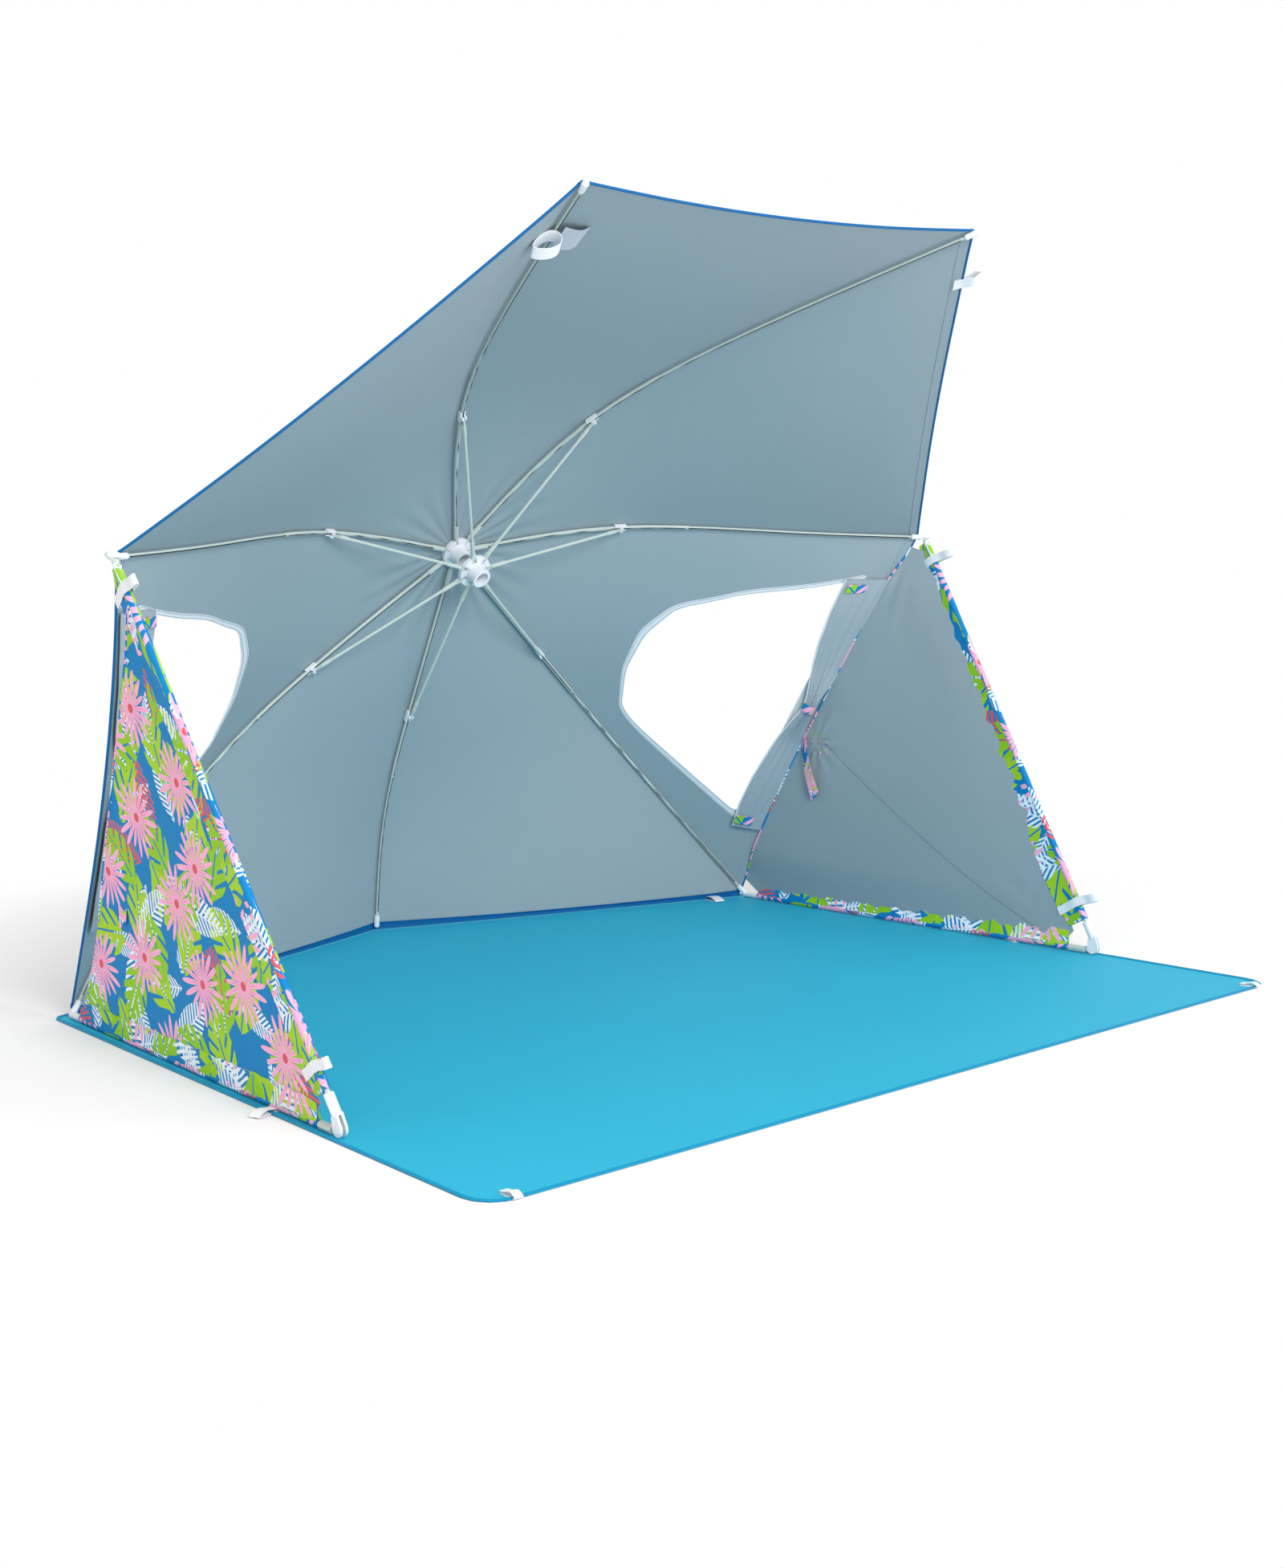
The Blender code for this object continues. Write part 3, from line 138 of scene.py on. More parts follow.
def cloth_station(name, share):
    """Cloth over a rib at a share from crown to hem; flat over the crown inside FLAT_RADIUS."""
    r = CLOTH_START + np.asarray(share, float) * (rib_end(name) - CLOTH_INSET - CLOTH_START)
    p = rib_point(name, np.maximum(r, FLAT_RADIUS), CLOTH_LIFT)
    p[..., :2] *= np.minimum(1.0, r / FLAT_RADIUS)[..., None]
    return p


def gore_hub(gore, u, v):
    """p(u, v) = (1 - v) A(u') + v B(u') with u' = u (1 - 4 k v (1 - v)), sagging inwards by a share of AB."""
    first, second, kind, _ = GORES[gore]
    u, v = np.broadcast_arrays(np.asarray(u, float), np.asarray(v, float))
    uu = u * (1.0 - SCALLOPS[kind] * 4.0 * v * (1.0 - v))
    a, b = cloth_station(first, uu), cloth_station(second, uu)
    p = a + (b - a) * v[..., None]
    p[..., 2] += SAG_SHARE * np.linalg.norm(b - a, axis=-1) * 4.0 * v * (1.0 - v)
    return p


# ---------------------------------------------------------------- numbers and meshes
def unit(v):
    v = np.asarray(v, float)
    return v / np.linalg.norm(v)


def smooth_share(value):
    value = np.clip(value, 0.0, 1.0)
    return value * value * (3.0 - 2.0 * value)


def bell(x, width):
    return np.exp(-(x / width) ** 2)


def half_span(low, count):
    """Shares of the lower or the upper half of 0 to 1."""
    return np.linspace(0.0, 0.5, count) if low else np.linspace(0.5, 1.0, count)


def lengths(path):
    """Length along a path at each of its points."""
    return np.r_[0.0, np.cumsum(np.linalg.norm(np.diff(path, axis=0), axis=1))]


def resampled(path, count):
    """count points evenly spaced along a path."""
    d = lengths(path)
    t = np.linspace(0, d[-1], count)
    return np.stack([np.interp(t, d, path[:, k]) for k in range(path.shape[1])], -1)


def bezier(points, count):
    """A smooth path through points, from Catmull-Rom pieces."""
    q = np.vstack((2 * points[0] - points[1], points, 2 * points[-1] - points[-2]))
    out = []
    for i in range(1, len(q) - 2):
        t = np.linspace(0, 1, count, endpoint=i == len(q) - 3)[:, None]
        a, b, c, d = q[i - 1], q[i], q[i + 1], q[i + 2]
        out.append(0.5 * (2 * b + (c - a) * t + (2 * a - 5 * b + 4 * c - d) * t**2 + (3 * b - a - 3 * c + d) * t**3))
    return np.vstack(out)


def quad_normals(points, faces):
    f = np.asarray(faces)
    return np.cross(points[f[:, 2]] - points[f[:, 0]], points[f[:, 3]] - points[f[:, 1]])


def normals_of(points, faces):
    """Area-weighted vertex normals of quads."""
    n = quad_normals(points, faces)
    out = np.zeros_like(points)
    for k in range(4):
        np.add.at(out, np.asarray(faces)[:, k], n)
    return out / np.maximum(np.linalg.norm(out, axis=1), 1e-12)[:, None]


def area_of(points, faces):
    return float(np.linalg.norm(quad_normals(points, faces), axis=1).sum() / 2)


def grid_faces(n, m, wrap=False):
    """Quads of an n x m grid, row-major; wrap joins the last column to the first."""
    i, j = np.meshgrid(np.arange(n - 1), np.arange(m if wrap else m - 1), indexing="ij")
    k = (j + 1) % m
    return np.stack((i * m + j, i * m + k, (i + 1) * m + k, (i + 1) * m + j), -1).reshape(-1, 4)


def ring_faces(n, m):
    """Quads of an n x m grid that closes on itself both ways."""
    return grid_faces(n + 1, m, wrap=True) % (n * m)


def facing(points, faces, way):
    """The quads, turned so that they face a way, which may differ from point to point."""
    return faces if (normals_of(points, faces) * way).sum() > 0 else faces[:, ::-1]


class Soup:
    """Closed islands of one object, each with a material and flat cloth coordinates in metres."""

    def __init__(self):
        self.co, self.faces, self.uv, self.mat, self.count = [], [], [], [], 0

    def add(self, points, faces, flat, mat=0):
        self.co.append(np.asarray(points, float))
        self.uv.append(np.asarray(flat, float))
        self.faces += [tuple(int(i) + self.count for i in f) for f in faces]
        self.mat += list(mat) if hasattr(mat, "__len__") else [mat] * len(faces)
        self.count += len(points)

    def skin(self, low, high, faces, flat, low_mat, high_mat, wall_mat):
        """A low and a high sheet with the same faces, which look from low to high, and walls between."""
        size = len(low)
        pairs = {(int(a), int(b)): True for f in faces for a, b in zip(f, (*f[1:], f[0])) if a != b}
        walls = [(a, b, b + size, a + size) for a, b in pairs if (b, a) not in pairs]
        all_faces = [tuple(f)[::-1] for f in faces] + [tuple(i + size for i in f) for f in faces] + walls
        mats = [low_mat] * len(faces) + [high_mat] * len(faces) + [wall_mat] * len(walls)
        self.add(np.vstack((low, high)), all_faces, np.vstack((flat, flat)), mats)

    def shell(self, points, faces, flat, thickness, inner=0, outer=None, start=0.0):
        """A sheet thickened along its normals, from start to start + thickness."""
        n = normals_of(points, faces)
        self.skin(points + n * start, points + n * (start + thickness), faces, flat, inner,
                  inner if outer is None else outer, inner)

    def sweep(self, rings, flat, mat=0):
        """A closed skin over an n x k stack of rings, with a cap at each end. Returns points and quads."""
        n, k = rings.shape[:2]
        points, middle = rings.reshape(-1, 3), rings.mean(1)
        quads = facing(points, grid_faces(n, k, wrap=True), points - np.repeat(middle, k, 0))
        caps = []
        for row, way in ((0, middle[0] - middle[1]), (n - 1, middle[-1] - middle[-2])):
            spoke = rings[row] - middle[row]
            turned = np.cross(spoke, np.roll(spoke, -1, 0)).sum(0) @ way < 0
            cap = tuple(range(row * k, (row + 1) * k))
            caps.append(cap[::-1] if turned else cap)
        self.add(points, [tuple(f) for f in quads] + caps, flat, mat)
        return points, quads

    def tube(self, path, radius, mat=0, sides=8, closed=False, flatten=1.0, up=None):
        """Round or flat tube swept along a path; rings from a parallel frame, ends capped."""
        n = len(path)
        radius = np.broadcast_to(np.asarray(radius, float), (n,))
        tangent = np.roll(path, -1, 0) - np.roll(path, 1, 0) if closed else np.gradient(path, axis=0)
        tangent /= np.linalg.norm(tangent, axis=1)[:, None]
        ref = UP if up is None else np.asarray(up, float)
        if up is None and abs(tangent[0] @ ref) > 0.9:
            ref = np.array((1.0, 0.0, 0.0))
        rings = []
        side = np.cross(tangent[0], ref)
        a = np.arange(sides) * 2 * pi / sides
        for i in range(n):
            if up is not None:
                side = np.cross(tangent[i], ref)
            side = unit(side - tangent[i] * (side @ tangent[i]))
            other = np.cross(side, tangent[i])
            rings.append(path[i] + radius[i] * (np.cos(a)[:, None] * side + flatten * np.sin(a)[:, None] * other))
        flat = np.stack((np.repeat(lengths(path), sides), np.tile(a, n) * radius.mean()), -1)
        if closed:
            faces = [tuple(x) for x in ring_faces(n, sides)[:, ::-1]]
        else:
            faces = [tuple(x) for x in grid_faces(n, sides, wrap=True)[:, ::-1]]
            faces += [tuple(range(sides)), tuple(range((n - 1) * sides, n * sides))[::-1]]
        self.add(np.vstack(rings), faces, flat, mat)

    def band(self, path, across, half, thickness, mat=0, steps=4):
        """A flat band along a path: half width along `across`, thickness along its normal."""
        across = unit(across)
        t = np.linspace(-half, half, steps + 1)
        points = (path[:, None] + across * t[None, :, None]).reshape(-1, 3)
        flat = np.stack(np.meshgrid(lengths(path), t, indexing="ij"), -1).reshape(-1, 2)
        self.shell(points, grid_faces(len(path), steps + 1), flat, thickness, mat)

    def make(self, name, looks, smooth=35.0):
        mesh = bpy.data.meshes.new(name)
        mesh.from_pydata(np.vstack(self.co).tolist(), [], self.faces)
        for look in looks:
            mesh.materials.append(look)
        mesh.polygons.foreach_set("material_index", np.array(self.mat, np.int32))
        layer = mesh.uv_layers.new(name="UVMap")
        index = np.zeros(len(mesh.loops), np.int32)
        mesh.loops.foreach_get("vertex_index", index)
        layer.data.foreach_set("uv", np.vstack(self.uv)[index].astype(np.float32).ravel())
        mesh.shade_smooth()
        mesh.set_sharp_from_angle(angle=radians(smooth))
        mesh.update()
        made = bpy.data.objects.new(name, mesh)
        bpy.context.scene.collection.objects.link(made)
        return made


def settle(made, body):
    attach(made, body)
    return made


def strip(name, body, path, across, half, thickness, look, steps=4):
    """One flat band as a piece of its own."""
    soup = Soup()
    soup.band(path, across, half, thickness, 0, steps)
    return settle(soup.make(name, [look]), body)


# ---------------------------------------------------------------- materials
class Value:
    """A node's output that can be reckoned with like a number."""

    def __init__(self, look, socket):
        self.look, self.socket = look, socket

    def op(self, kind, *others):
        return self.look.m(kind, self, *others)

    def __rsub__(self, other):
        return self.look.m("SUBTRACT", other, self)


for sign, kind in (("add", "ADD"), ("sub", "SUBTRACT"), ("mul", "MULTIPLY"), ("truediv", "DIVIDE"),
                   ("lt", "LESS_THAN"), ("gt", "GREATER_THAN"), ("or", "MAXIMUM"), ("abs", "ABSOLUTE")):
    setattr(Value, "__%s__" % sign, lambda self, *others, kind=kind: self.op(kind, *others))


class Look:
    """One procedural material; numbers, colours and values may be passed alike."""

    def __init__(self, name, roughness, metallic=0.0):
        self.mat = bpy.data.materials.new(name)
        self.mat.use_nodes = True
        self.tree = self.mat.node_tree
        self.bsdf = self.tree.nodes["Principled BSDF"]
        self.set(Roughness=roughness, Metallic=metallic)

    def put(self, socket, value):
        if isinstance(value, Value):
            self.tree.links.new(value.socket, socket)
        elif hasattr(value, "__len__") and socket.type == "RGBA":
            socket.default_value = (*value[:3], 1.0)
        else:
            socket.default_value = value

    def set(self, **values):
        for key, value in values.items():
            self.put(self.bsdf.inputs[key.replace("_", " ")], value)

    def node(self, kind, out=0, ins=(), **props):
        made = self.tree.nodes.new(kind)
        for key, value in props.items():
            setattr(made, key, value)
        for key, value in (ins.items() if isinstance(ins, dict) else enumerate(ins)):
            if value is not None:
                self.put(made.inputs[key], value)
        return Value(self, made.outputs[out])

    def m(self, op, *values):
        return self.node("ShaderNodeMath", ins=values, operation=op)

    def v(self, op, *values, out=0):
        return self.node("ShaderNodeVectorMath", out=out, ins=values, operation=op)

    def scaled(self, vector, factor):
        return self.node("ShaderNodeVectorMath", ins={0: vector, "Scale": factor}, operation="SCALE")

    def split(self, kind, value):
        return tuple(Value(self, k) for k in self.node(kind, ins=(value,)).socket.node.outputs)

    def mix(self, factor, a, b):
        return self.node("ShaderNodeMix", out=2, ins={0: factor, 6: a, 7: b}, data_type="RGBA")

    def where(self, space):
        return self.node("ShaderNodeTexCoord", out=space)

    def noise(self, where, scale, detail=3.0, rough=0.5, distortion=0.0):
        return self.node("ShaderNodeTexNoise", ins={"Vector": where, "Scale": scale, "Detail": detail,
                                                     "Roughness": rough, "Distortion": distortion})

    def wave(self, where, scale, axis):
        return self.node("ShaderNodeTexWave", out="Fac", ins={"Vector": where, "Scale": scale},
                         bands_direction=axis)

    def bump(self, height, strength, distance, before=None):
        return self.node("ShaderNodeBump", ins={"Strength": strength, "Distance": distance, "Height": height,
                                                "Normal": before})


def srgb(r, g, b):
    """Linear colour from 8-bit sRGB."""
    out = []
    for k in (r, g, b):
        k /= 255.0
        out.append(k / 12.92 if k <= 0.04045 else ((k + 0.055) / 1.055) ** 2.4)
    return tuple(out)


def shade(colour, factor):
    return tuple(min(1.0, factor * k) for k in colour)


THREAD_PITCH, WEAVE_STRENGTH, PLASTIC_ROUGHNESS, PLASTIC_GRAIN = 0.0011, 0.25, 0.38, 0.12


def weave(look, where, pitch=THREAD_PITCH):
    """Plain weave as two crossed waves, over soft creases."""
    scale = 1.0 / (pitch * 2 * pi) * 3.1
    cross = look.wave(where, scale, "X") + look.wave(where, scale, "Y")
    crease = look.noise(where, 9.0, detail=4.0, rough=0.55, distortion=0.4)
    soft = look.bump(crease, strength=0.35, distance=0.004)
    return look.bump(cross, WEAVE_STRENGTH, distance=0.0003, before=soft)


def cloth_look(name, colour, vary=0.06, roughness=0.55, sheen=0.2, pitch=THREAD_PITCH, **plain):
    """Woven cloth: the colour varies a little, widely and from thread to thread."""
    look = Look(name, roughness)
    where = look.where("UV")
    mottle = look.noise(where, 3.5) * 0.8 + look.noise(where, 420.0, detail=2.0) * 0.2
    look.set(Base_Color=look.mix(mottle, shade(colour, 1 - vary), shade(colour, 1 + vary)),
             Normal=weave(look, where, pitch), Sheen_Weight=sheen, Sheen_Roughness=0.4, **plain)
    return look.mat


def cell(look, where, size, seed, jitter):
    """Local coordinates (metres) in a jittered, turned cell: x, y, random."""
    q = look.v("ADD", look.scaled(where, 1.0 / size), (seed * 3.71, seed * 1.93, 0.0))
    home = look.v("FLOOR", q)
    random = look.node("ShaderNodeTexWhiteNoise", out="Color", ins={"Vector": home}, noise_dimensions="3D")
    rx, ry, rz = look.split("ShaderNodeSeparateColor", random)
    inside = look.v("SUBTRACT", look.v("SUBTRACT", q, home), (0.5, 0.5, 0.0))
    shift = look.node("ShaderNodeCombineXYZ", ins=((rx - 0.5) * jitter, (ry - 0.5) * jitter))
    local = look.scaled(look.v("SUBTRACT", inside, shift), size)
    turned = look.node("ShaderNodeVectorRotate", ins={"Vector": local, "Angle": rz * (2 * pi)},
                       rotation_type="Z_AXIS")
    return *look.split("ShaderNodeSeparateXYZ", turned)[:2], rx


def leaf_mask(x, y, half_length, half_width):
    """|y| < w (1 - (x / l)^2): a lens leaf, with a bare vein and side veins."""
    t, side = x / half_length, abs(y)
    edge = (1.0 - t * t) * half_width
    ribs = ((x - side) * (2 * pi / (half_width * 0.72))).op("SINE")
    cut = 0.33 - side * (0.75 / half_width)
    open_rib = (ribs > -0.62 - cut) | (side < half_width * 0.28)
    return (side < edge) * (side > half_width * 0.045) * open_rib


def sprig_mask(x, y, half_length, half_width, pitch):
    """A fern sprig: a lens cut into leaflets that lean along the stem."""
    t, side = x / half_length, abs(y)
    edge = (1.0 - t * t) * half_width
    comb = ((x - side * 0.9) * (2 * pi / pitch)).op("SINE")
    stem = (side < 0.0011) * (abs(x) < half_length)
    return (side < edge) * (comb > -0.15) | stem


def blossom(x, y, radius, petals):
    """r < R (0.14 + 0.86 |cos(n a / 2)|) (0.75 + 0.25 |cos(2.5 a + 0.7)|): petals, then their rays and heart."""
    r = (x * x + y * y).op("SQRT")
    a = y.op("ARCTAN2", x)
    wave = abs((a * (petals / 2.0)).op("COSINE"))
    lobe = abs((a * 2.5 + 0.7).op("COSINE"))
    body = r < (wave * 0.86 + 0.14) * ((lobe * 0.25 + 0.75) * radius)
    ray = (wave > 0.992) * (r < radius * 0.50)
    return body, (r < radius * 0.11) | ray


BLUE, LIME, LEAF = srgb(0, 132, 196), srgb(168, 212, 36), srgb(120, 194, 34)
PINK, CORAL, PALE = srgb(250, 178, 212), srgb(222, 92, 100), srgb(236, 246, 252)


def print_look(name):
    """Generic leaves, sprigs and blossoms on blue, in flat cloth coordinates."""
    look = Look(name, 0.6)
    where = look.where("UV")
    colour = look.mix(look.noise(where, 5.0), shade(BLUE, 0.93), BLUE)
    x, y, _ = cell(look, where, size=0.120, seed=5.0, jitter=0.5)
    colour = look.mix(sprig_mask(x, y, half_length=0.056, half_width=0.021, pitch=0.0095), colour, PALE)
    x, y, _ = cell(look, where, size=0.136, seed=1.0, jitter=0.45)
    colour = look.mix(leaf_mask(x, y, half_length=0.066, half_width=0.040), colour, LIME)
    x, y, random = cell(look, where, size=0.160, seed=2.0, jitter=0.5)
    colour = look.mix(sprig_mask(x, y, half_length=0.078, half_width=0.030, pitch=0.0125), colour,
                      look.mix(random < 0.6, CORAL, PALE))
    x, y, _ = cell(look, where, size=0.150, seed=3.0, jitter=0.45)
    colour = look.mix(leaf_mask(x, y, half_length=0.060, half_width=0.038), colour, look.mix(0.5, LIME, LEAF))
    x, y, _ = cell(look, where, size=0.156, seed=4.0, jitter=0.42)
    body, heart = blossom(x, y, radius=0.068, petals=17)
    colour = look.mix(heart, look.mix(body, colour, PINK), CORAL)
    look.set(Base_Color=colour, Normal=weave(look, where), Specular_IOR_Level=0.2)
    return look.mat


def plastic_look(name, colour):
    """Moulded plastic: faint flow marks and a fine grain."""
    look = Look(name, PLASTIC_ROUGHNESS)
    where = look.where("Object")
    flow = look.noise(where, 35.0, detail=2.0)
    look.set(Base_Color=look.mix(flow, shade(colour, 0.95), colour),
             Roughness=flow * 0.12 + (PLASTIC_ROUGHNESS - 0.06),
             Normal=look.bump(look.noise(where, 1500.0, detail=2.0), PLASTIC_GRAIN, distance=0.0001),
             Specular_IOR_Level=0.5)
    return look.mat


def rod_look(name, colour, metallic=0.0, roughness=0.4):
    """Coated rod: fine marks and slight wear."""
    look = Look(name, roughness, metallic)
    where = look.where("Object")
    wear = look.noise(where, 60.0, detail=5.0, rough=0.65)
    look.set(Base_Color=look.mix(wear, shade(colour, 0.86), shade(colour, 1.06)),
             Roughness=wear * 0.2 + (roughness - 0.1),
             Normal=look.bump(look.noise(where, 900.0), strength=0.1, distance=0.0001))
    return look.mat


inside = cloth_look("canopy_inside", srgb(146, 164, 172), 0.04, 0.42, 0.1)
# Curtain cloth: painted lighter than the canopy's inside, standing for light coming through the window and lifting
# the shade of its folds
curtain_cloth_painted_lighter = cloth_look("curtain_cloth_painted_lighter", srgb(158, 173, 182), 0.05, 0.5, 0.2)
printed = print_look("printed_cloth")
piping = cloth_look("blue_piping", srgb(0, 96, 156), 0.08, 0.6, 0.0, Specular_IOR_Level=0.25)
tape = cloth_look("window_binding", srgb(224, 230, 235), 0.04, 0.6)
webbing = cloth_look("white_webbing", srgb(238, 240, 243), 0.03, 0.7, pitch=0.0022)
mat_top = cloth_look("ground_cloth", srgb(45, 182, 216), 0.04, 0.60, 0.0, pitch=0.0014, Specular_IOR_Level=0.2)
mat_edge = cloth_look("ground_binding", srgb(10, 150, 192), 0.06, 0.6, 0.0, Specular_IOR_Level=0.2)
white = plastic_look("white_plastic", srgb(236, 239, 243))
rod = rod_look("rib_rod", srgb(198, 210, 203))
wire = rod_look("hinge_wire", (0.6, 0.61, 0.62), 1.0, 0.3)
thread = cloth_look("seam_thread", srgb(124, 142, 155), 0.05, 0.6)
label = cloth_look("blank_label", srgb(176, 186, 198), 0.03, 0.6)
# Painted shade: near-black look for the strips that stand for the shadow inside the ribs' channels
painted_channel_shade = rod_look("rib_channel_painted_shade", srgb(24, 33, 35), 0.0, 0.7)

for node_name, node in nodes.items():
    if node_name == "crown_wire":
        look = wire
    elif node_name.startswith(("crown", "runner", "rib_tip", "rib_joint", "wing_foot")):
        look = white
    elif node_name.startswith(("rib_", "stretcher_", "wing_front_rod", "wing_ground_rod")):
        look = rod
    else:
        continue
    node.data.materials.clear()
    node.data.materials.append(look)
    node.data.shade_smooth()
    node.data.set_sharp_from_angle(angle=radians(35.0))


# ---------------------------------------------------------------- canopy
# Corners of a side window as shares (u, v) of its gore, and how far along each side they are rounded
WINDOW = np.array(((0.598, 0.382), (0.720, 0.243), (0.940, 0.122), (0.945, 0.855), (0.605, 0.885), (0.566, 0.730),
                   (0.564, 0.545)))
ROUNDING_SHARES = (0.24, 0.24, 0.08, 0.10, 0.24, 0.24, 0.24)
ROUNDING_POINTS, OUTLINE_POINTS = 9, 1200
CROWN_COUNT, SIDE_COUNT, HALF_HEM_COUNT, RING_COUNT = 13, 81, 29, 26  # points round a windowed half gore
HEM_COUNT = 30
CLOTH = 0.0008
PIPING_RADIUS = 0.0023
CROWN_FOLD, CORNER_FOLD, SLOW_FOLD, CORNER_REACH = 0.0012, 0.0022, 0.0010, 0.03**0.5
PRINT_SHIFT, PRINT_LENGTH = 0.83, 1.12
SKIRT_FOOT, SKIRT_OUT, SKIRT_BULGE = 0.0026, np.array((0.0, 0.003, 0.0)), np.array((0.0, 0.002, 0.0))
TAPE_INSIDE, TAPE_OUTSIDE, STITCH_GAPS, STITCH_LIFT = 0.002, 0.016, (0.0015, 0.0130), 0.0012


def rounded(corners):
    """Corners joined by quadratic curves that start a share of the way along each side."""
    out = []
    n = len(corners)
    for i, share in enumerate(ROUNDING_SHARES):
        before, corner, after = corners[i - 1], corners[i], corners[(i + 1) % n]
        a, b = corner + (before - corner) * share, corner + (after - corner) * share
        for t in np.linspace(0, 1, ROUNDING_POINTS):
            out.append((1 - t) ** 2 * a + 2 * t * (1 - t) * corner + t * t * b)
    return np.array(out)


def half_window(low_side):
    """The window's outline below (or above) v = 0.5, from the crown side to the hem side, evenly spaced in
    two runs that meet at the corner beside the hem."""
    loop = rounded(WINDOW)
    dense = resampled(np.vstack((loop, loop[:1])), OUTLINE_POINTS)[:-1]
    index = np.where(dense[:, 1] < 0.5 if low_side else dense[:, 1] > 0.5)[0]
    jump = np.where(np.diff(index) > 1)[0]
    if len(jump):
        index = np.r_[index[jump[0] + 1:], index[:jump[0] + 1]]
    part = dense[index]
    if part[0, 0] > part[-1, 0]:
        part = part[::-1]
    part[0, 1] = part[-1, 1] = 0.5
    turn = np.linalg.norm(part - WINDOW[2 if low_side else 3], axis=1).argmin()
    return np.vstack((resampled(part[:turn + 1], CROWN_COUNT + SIDE_COUNT - 1)[:-1],
                      resampled(part[turn:], HALF_HEM_COUNT)))


def crossed(us, vs):
    return [k.ravel() for k in np.meshgrid(us, vs, indexing="ij")]


def wrinkle(u, v, seed):
    """Inward height of soft tension folds: fans from the crown and from the two hem corners, and slow waves."""
    fan = CROWN_FOLD * np.sin(v * 23.0 + seed) * bell(u - 0.12, 0.10)
    low = CORNER_FOLD * np.sin(v * 8.0 + u * 16.0 + seed * 1.7) * bell(np.hypot(1 - u, v), CORNER_REACH)
    high = CORNER_FOLD * np.sin((1 - v) * 8.0 + u * 16.0 + seed) * bell(np.hypot(1 - u, 1 - v), CORNER_REACH)
    slow = SLOW_FOLD * np.sin(u * 7.0 + v * 5.0 + seed * 2.3) * u
    return (fan + low + high + slow) * np.sqrt(4 * v * (1 - v))


def gore_world(gore, u, v):
    """The gore's surface with its folds, in world coordinates."""
    p = gore_hub(gore, u, v)
    p[..., 2] += wrinkle(u, v, GORES[gore][3])
    return to_world(p)


def flat_of(gore, u, v):
    """Flat cloth coordinates in metres: across the gore from its middle, and along it."""
    first, second = GORES[gore][:2]
    width = np.linalg.norm(cloth_station(second, u) - cloth_station(first, u), axis=-1)
    return np.stack(((v - 0.5) * width + RIBS.index(first) * PRINT_SHIFT, u * PRINT_LENGTH), -1)


def hold(made, rib):
    """Cloth fast to a rib: parented to the rib's arm, with a mesh of its own."""
    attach(made, "rib_arm_" + rib)
    tuple(sideways(rib))
    tuple(to_world(rib_point(rib, 0.5)))
    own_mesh(made)


def half_gore(gore, low_side):
    """Half of a gore, from its rib to its middle line, with piping, turned hem, skirt and window tape."""
    first, second, kind, _ = GORES[gore]
    outer_edge = 0.0 if low_side else 1.0
    soup = Soup()

    def lay(u, v, rows, columns, thickness, inner, outer=None, start=0.0):
        points = gore_world(gore, u, v)
        faces = facing(points, grid_faces(rows, columns), -AXIS)
        soup.shell(points, faces, flat_of(gore, u, v), thickness, inner, outer, start)
        return area_of(points, faces)

    if kind == "side":
        window = half_window(low_side)
        top, bottom = (0.0, outer_edge), (1.0, outer_edge)
        border = np.vstack((np.linspace((0.0, 0.5), top, CROWN_COUNT)[:-1],
                            np.linspace(top, bottom, SIDE_COUNT)[:-1],
                            np.linspace(bottom, (1.0, 0.5), HALF_HEM_COUNT)))
        steps = np.linspace(0.0, 1.0, RING_COUNT) ** 1.25
        uv = window[:, None] + (border - window)[:, None] * steps[None, :, None]
        cut_area = lay(*uv.reshape(-1, 2).T, *uv.shape[:2], CLOTH, 0, 1)
    else:
        us, vs = np.r_[np.linspace(0.0, 0.03, 4)[:-1], np.linspace(0.03, 1.0, 74)], half_span(low_side, 25)
        cut_area = lay(*crossed(us, vs), len(us), len(vs), CLOTH, 0, 1)
    middle = gore_world(gore, np.linspace(0, 1, 20), np.full(20, 0.5))
    tip = gore_world(gore, np.ones(1), np.full(1, outer_edge))[0]

    vs = half_span(low_side, HEM_COUNT)
    if kind != "back":
        soup.tube(gore_world(gore, np.ones(HEM_COUNT), vs), PIPING_RADIUS, 2)
    lay(*crossed((0.982, 0.9985), vs), 2, HEM_COUNT, 0.0006, 0, start=-0.0007)
    if kind == "back":
        hem = gore_world(gore, np.full(HEM_COUNT, 0.9995), vs)
        foot = hem + SKIRT_OUT
        foot[:, 2] = SKIRT_FOOT
        rows = np.concatenate((hem, (hem + foot) / 2 + SKIRT_BULGE, foot))
        soup.shell(rows, grid_faces(3, HEM_COUNT), rows[:, [0, 2]], 0.0006, 2)
    if kind == "side":
        away = window - WINDOW.mean(0)
        away /= np.linalg.norm(away, axis=1)[:, None]
        rows = np.vstack((window - away * TAPE_INSIDE, window + away * TAPE_OUTSIDE))
        lay(*rows.T, 2, len(window), 0.0030, 3, start=-0.0011)
        for gap in STITCH_GAPS:
            soup.tube(gore_world(gore, *(window + away * gap).T) + AXIS * STITCH_LIFT, 0.0005, 4, 5)
    made = soup.make(gore + ("_a" if low_side else "_b"), [inside, printed, piping, tape, thread])
    rib = first if low_side else second
    hold(made, rib)
    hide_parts(gore)


for gore in GORES:
    for low_side in (True, False):
        half_gore(gore, low_side)

# Felled seams over the ribs, outside
for rib in RIBS:
    line = to_world(rib_point(rib, np.linspace(0.036, rib_end(rib) - 0.010, 70), CLOTH_LIFT + CLOTH + 0.0004))
    strip("seam_" + rib, "rib_arm_" + rib, line, -sideways(rib), 0.006, 0.0006, printed, 2)

# Painted shade: a near-black strip on each rib stands for the shadow in the open mouth of its channel, on the side
# that faces into the tent
THIN_ROD_FROM = 0.4905
for rib in RIBS:
    r = np.linspace(0.068, rib_end(rib) - 0.030, 90)
    line = to_world(rib_point(rib, r, -0.0001 - np.where(r < THIN_ROD_FROM, 0.0038, 0.0028)))
    strip("channel_shade_" + rib, "rib_arm_" + rib, line, sideways(rib), 0.0010, 0.0003, painted_channel_shade, 2)


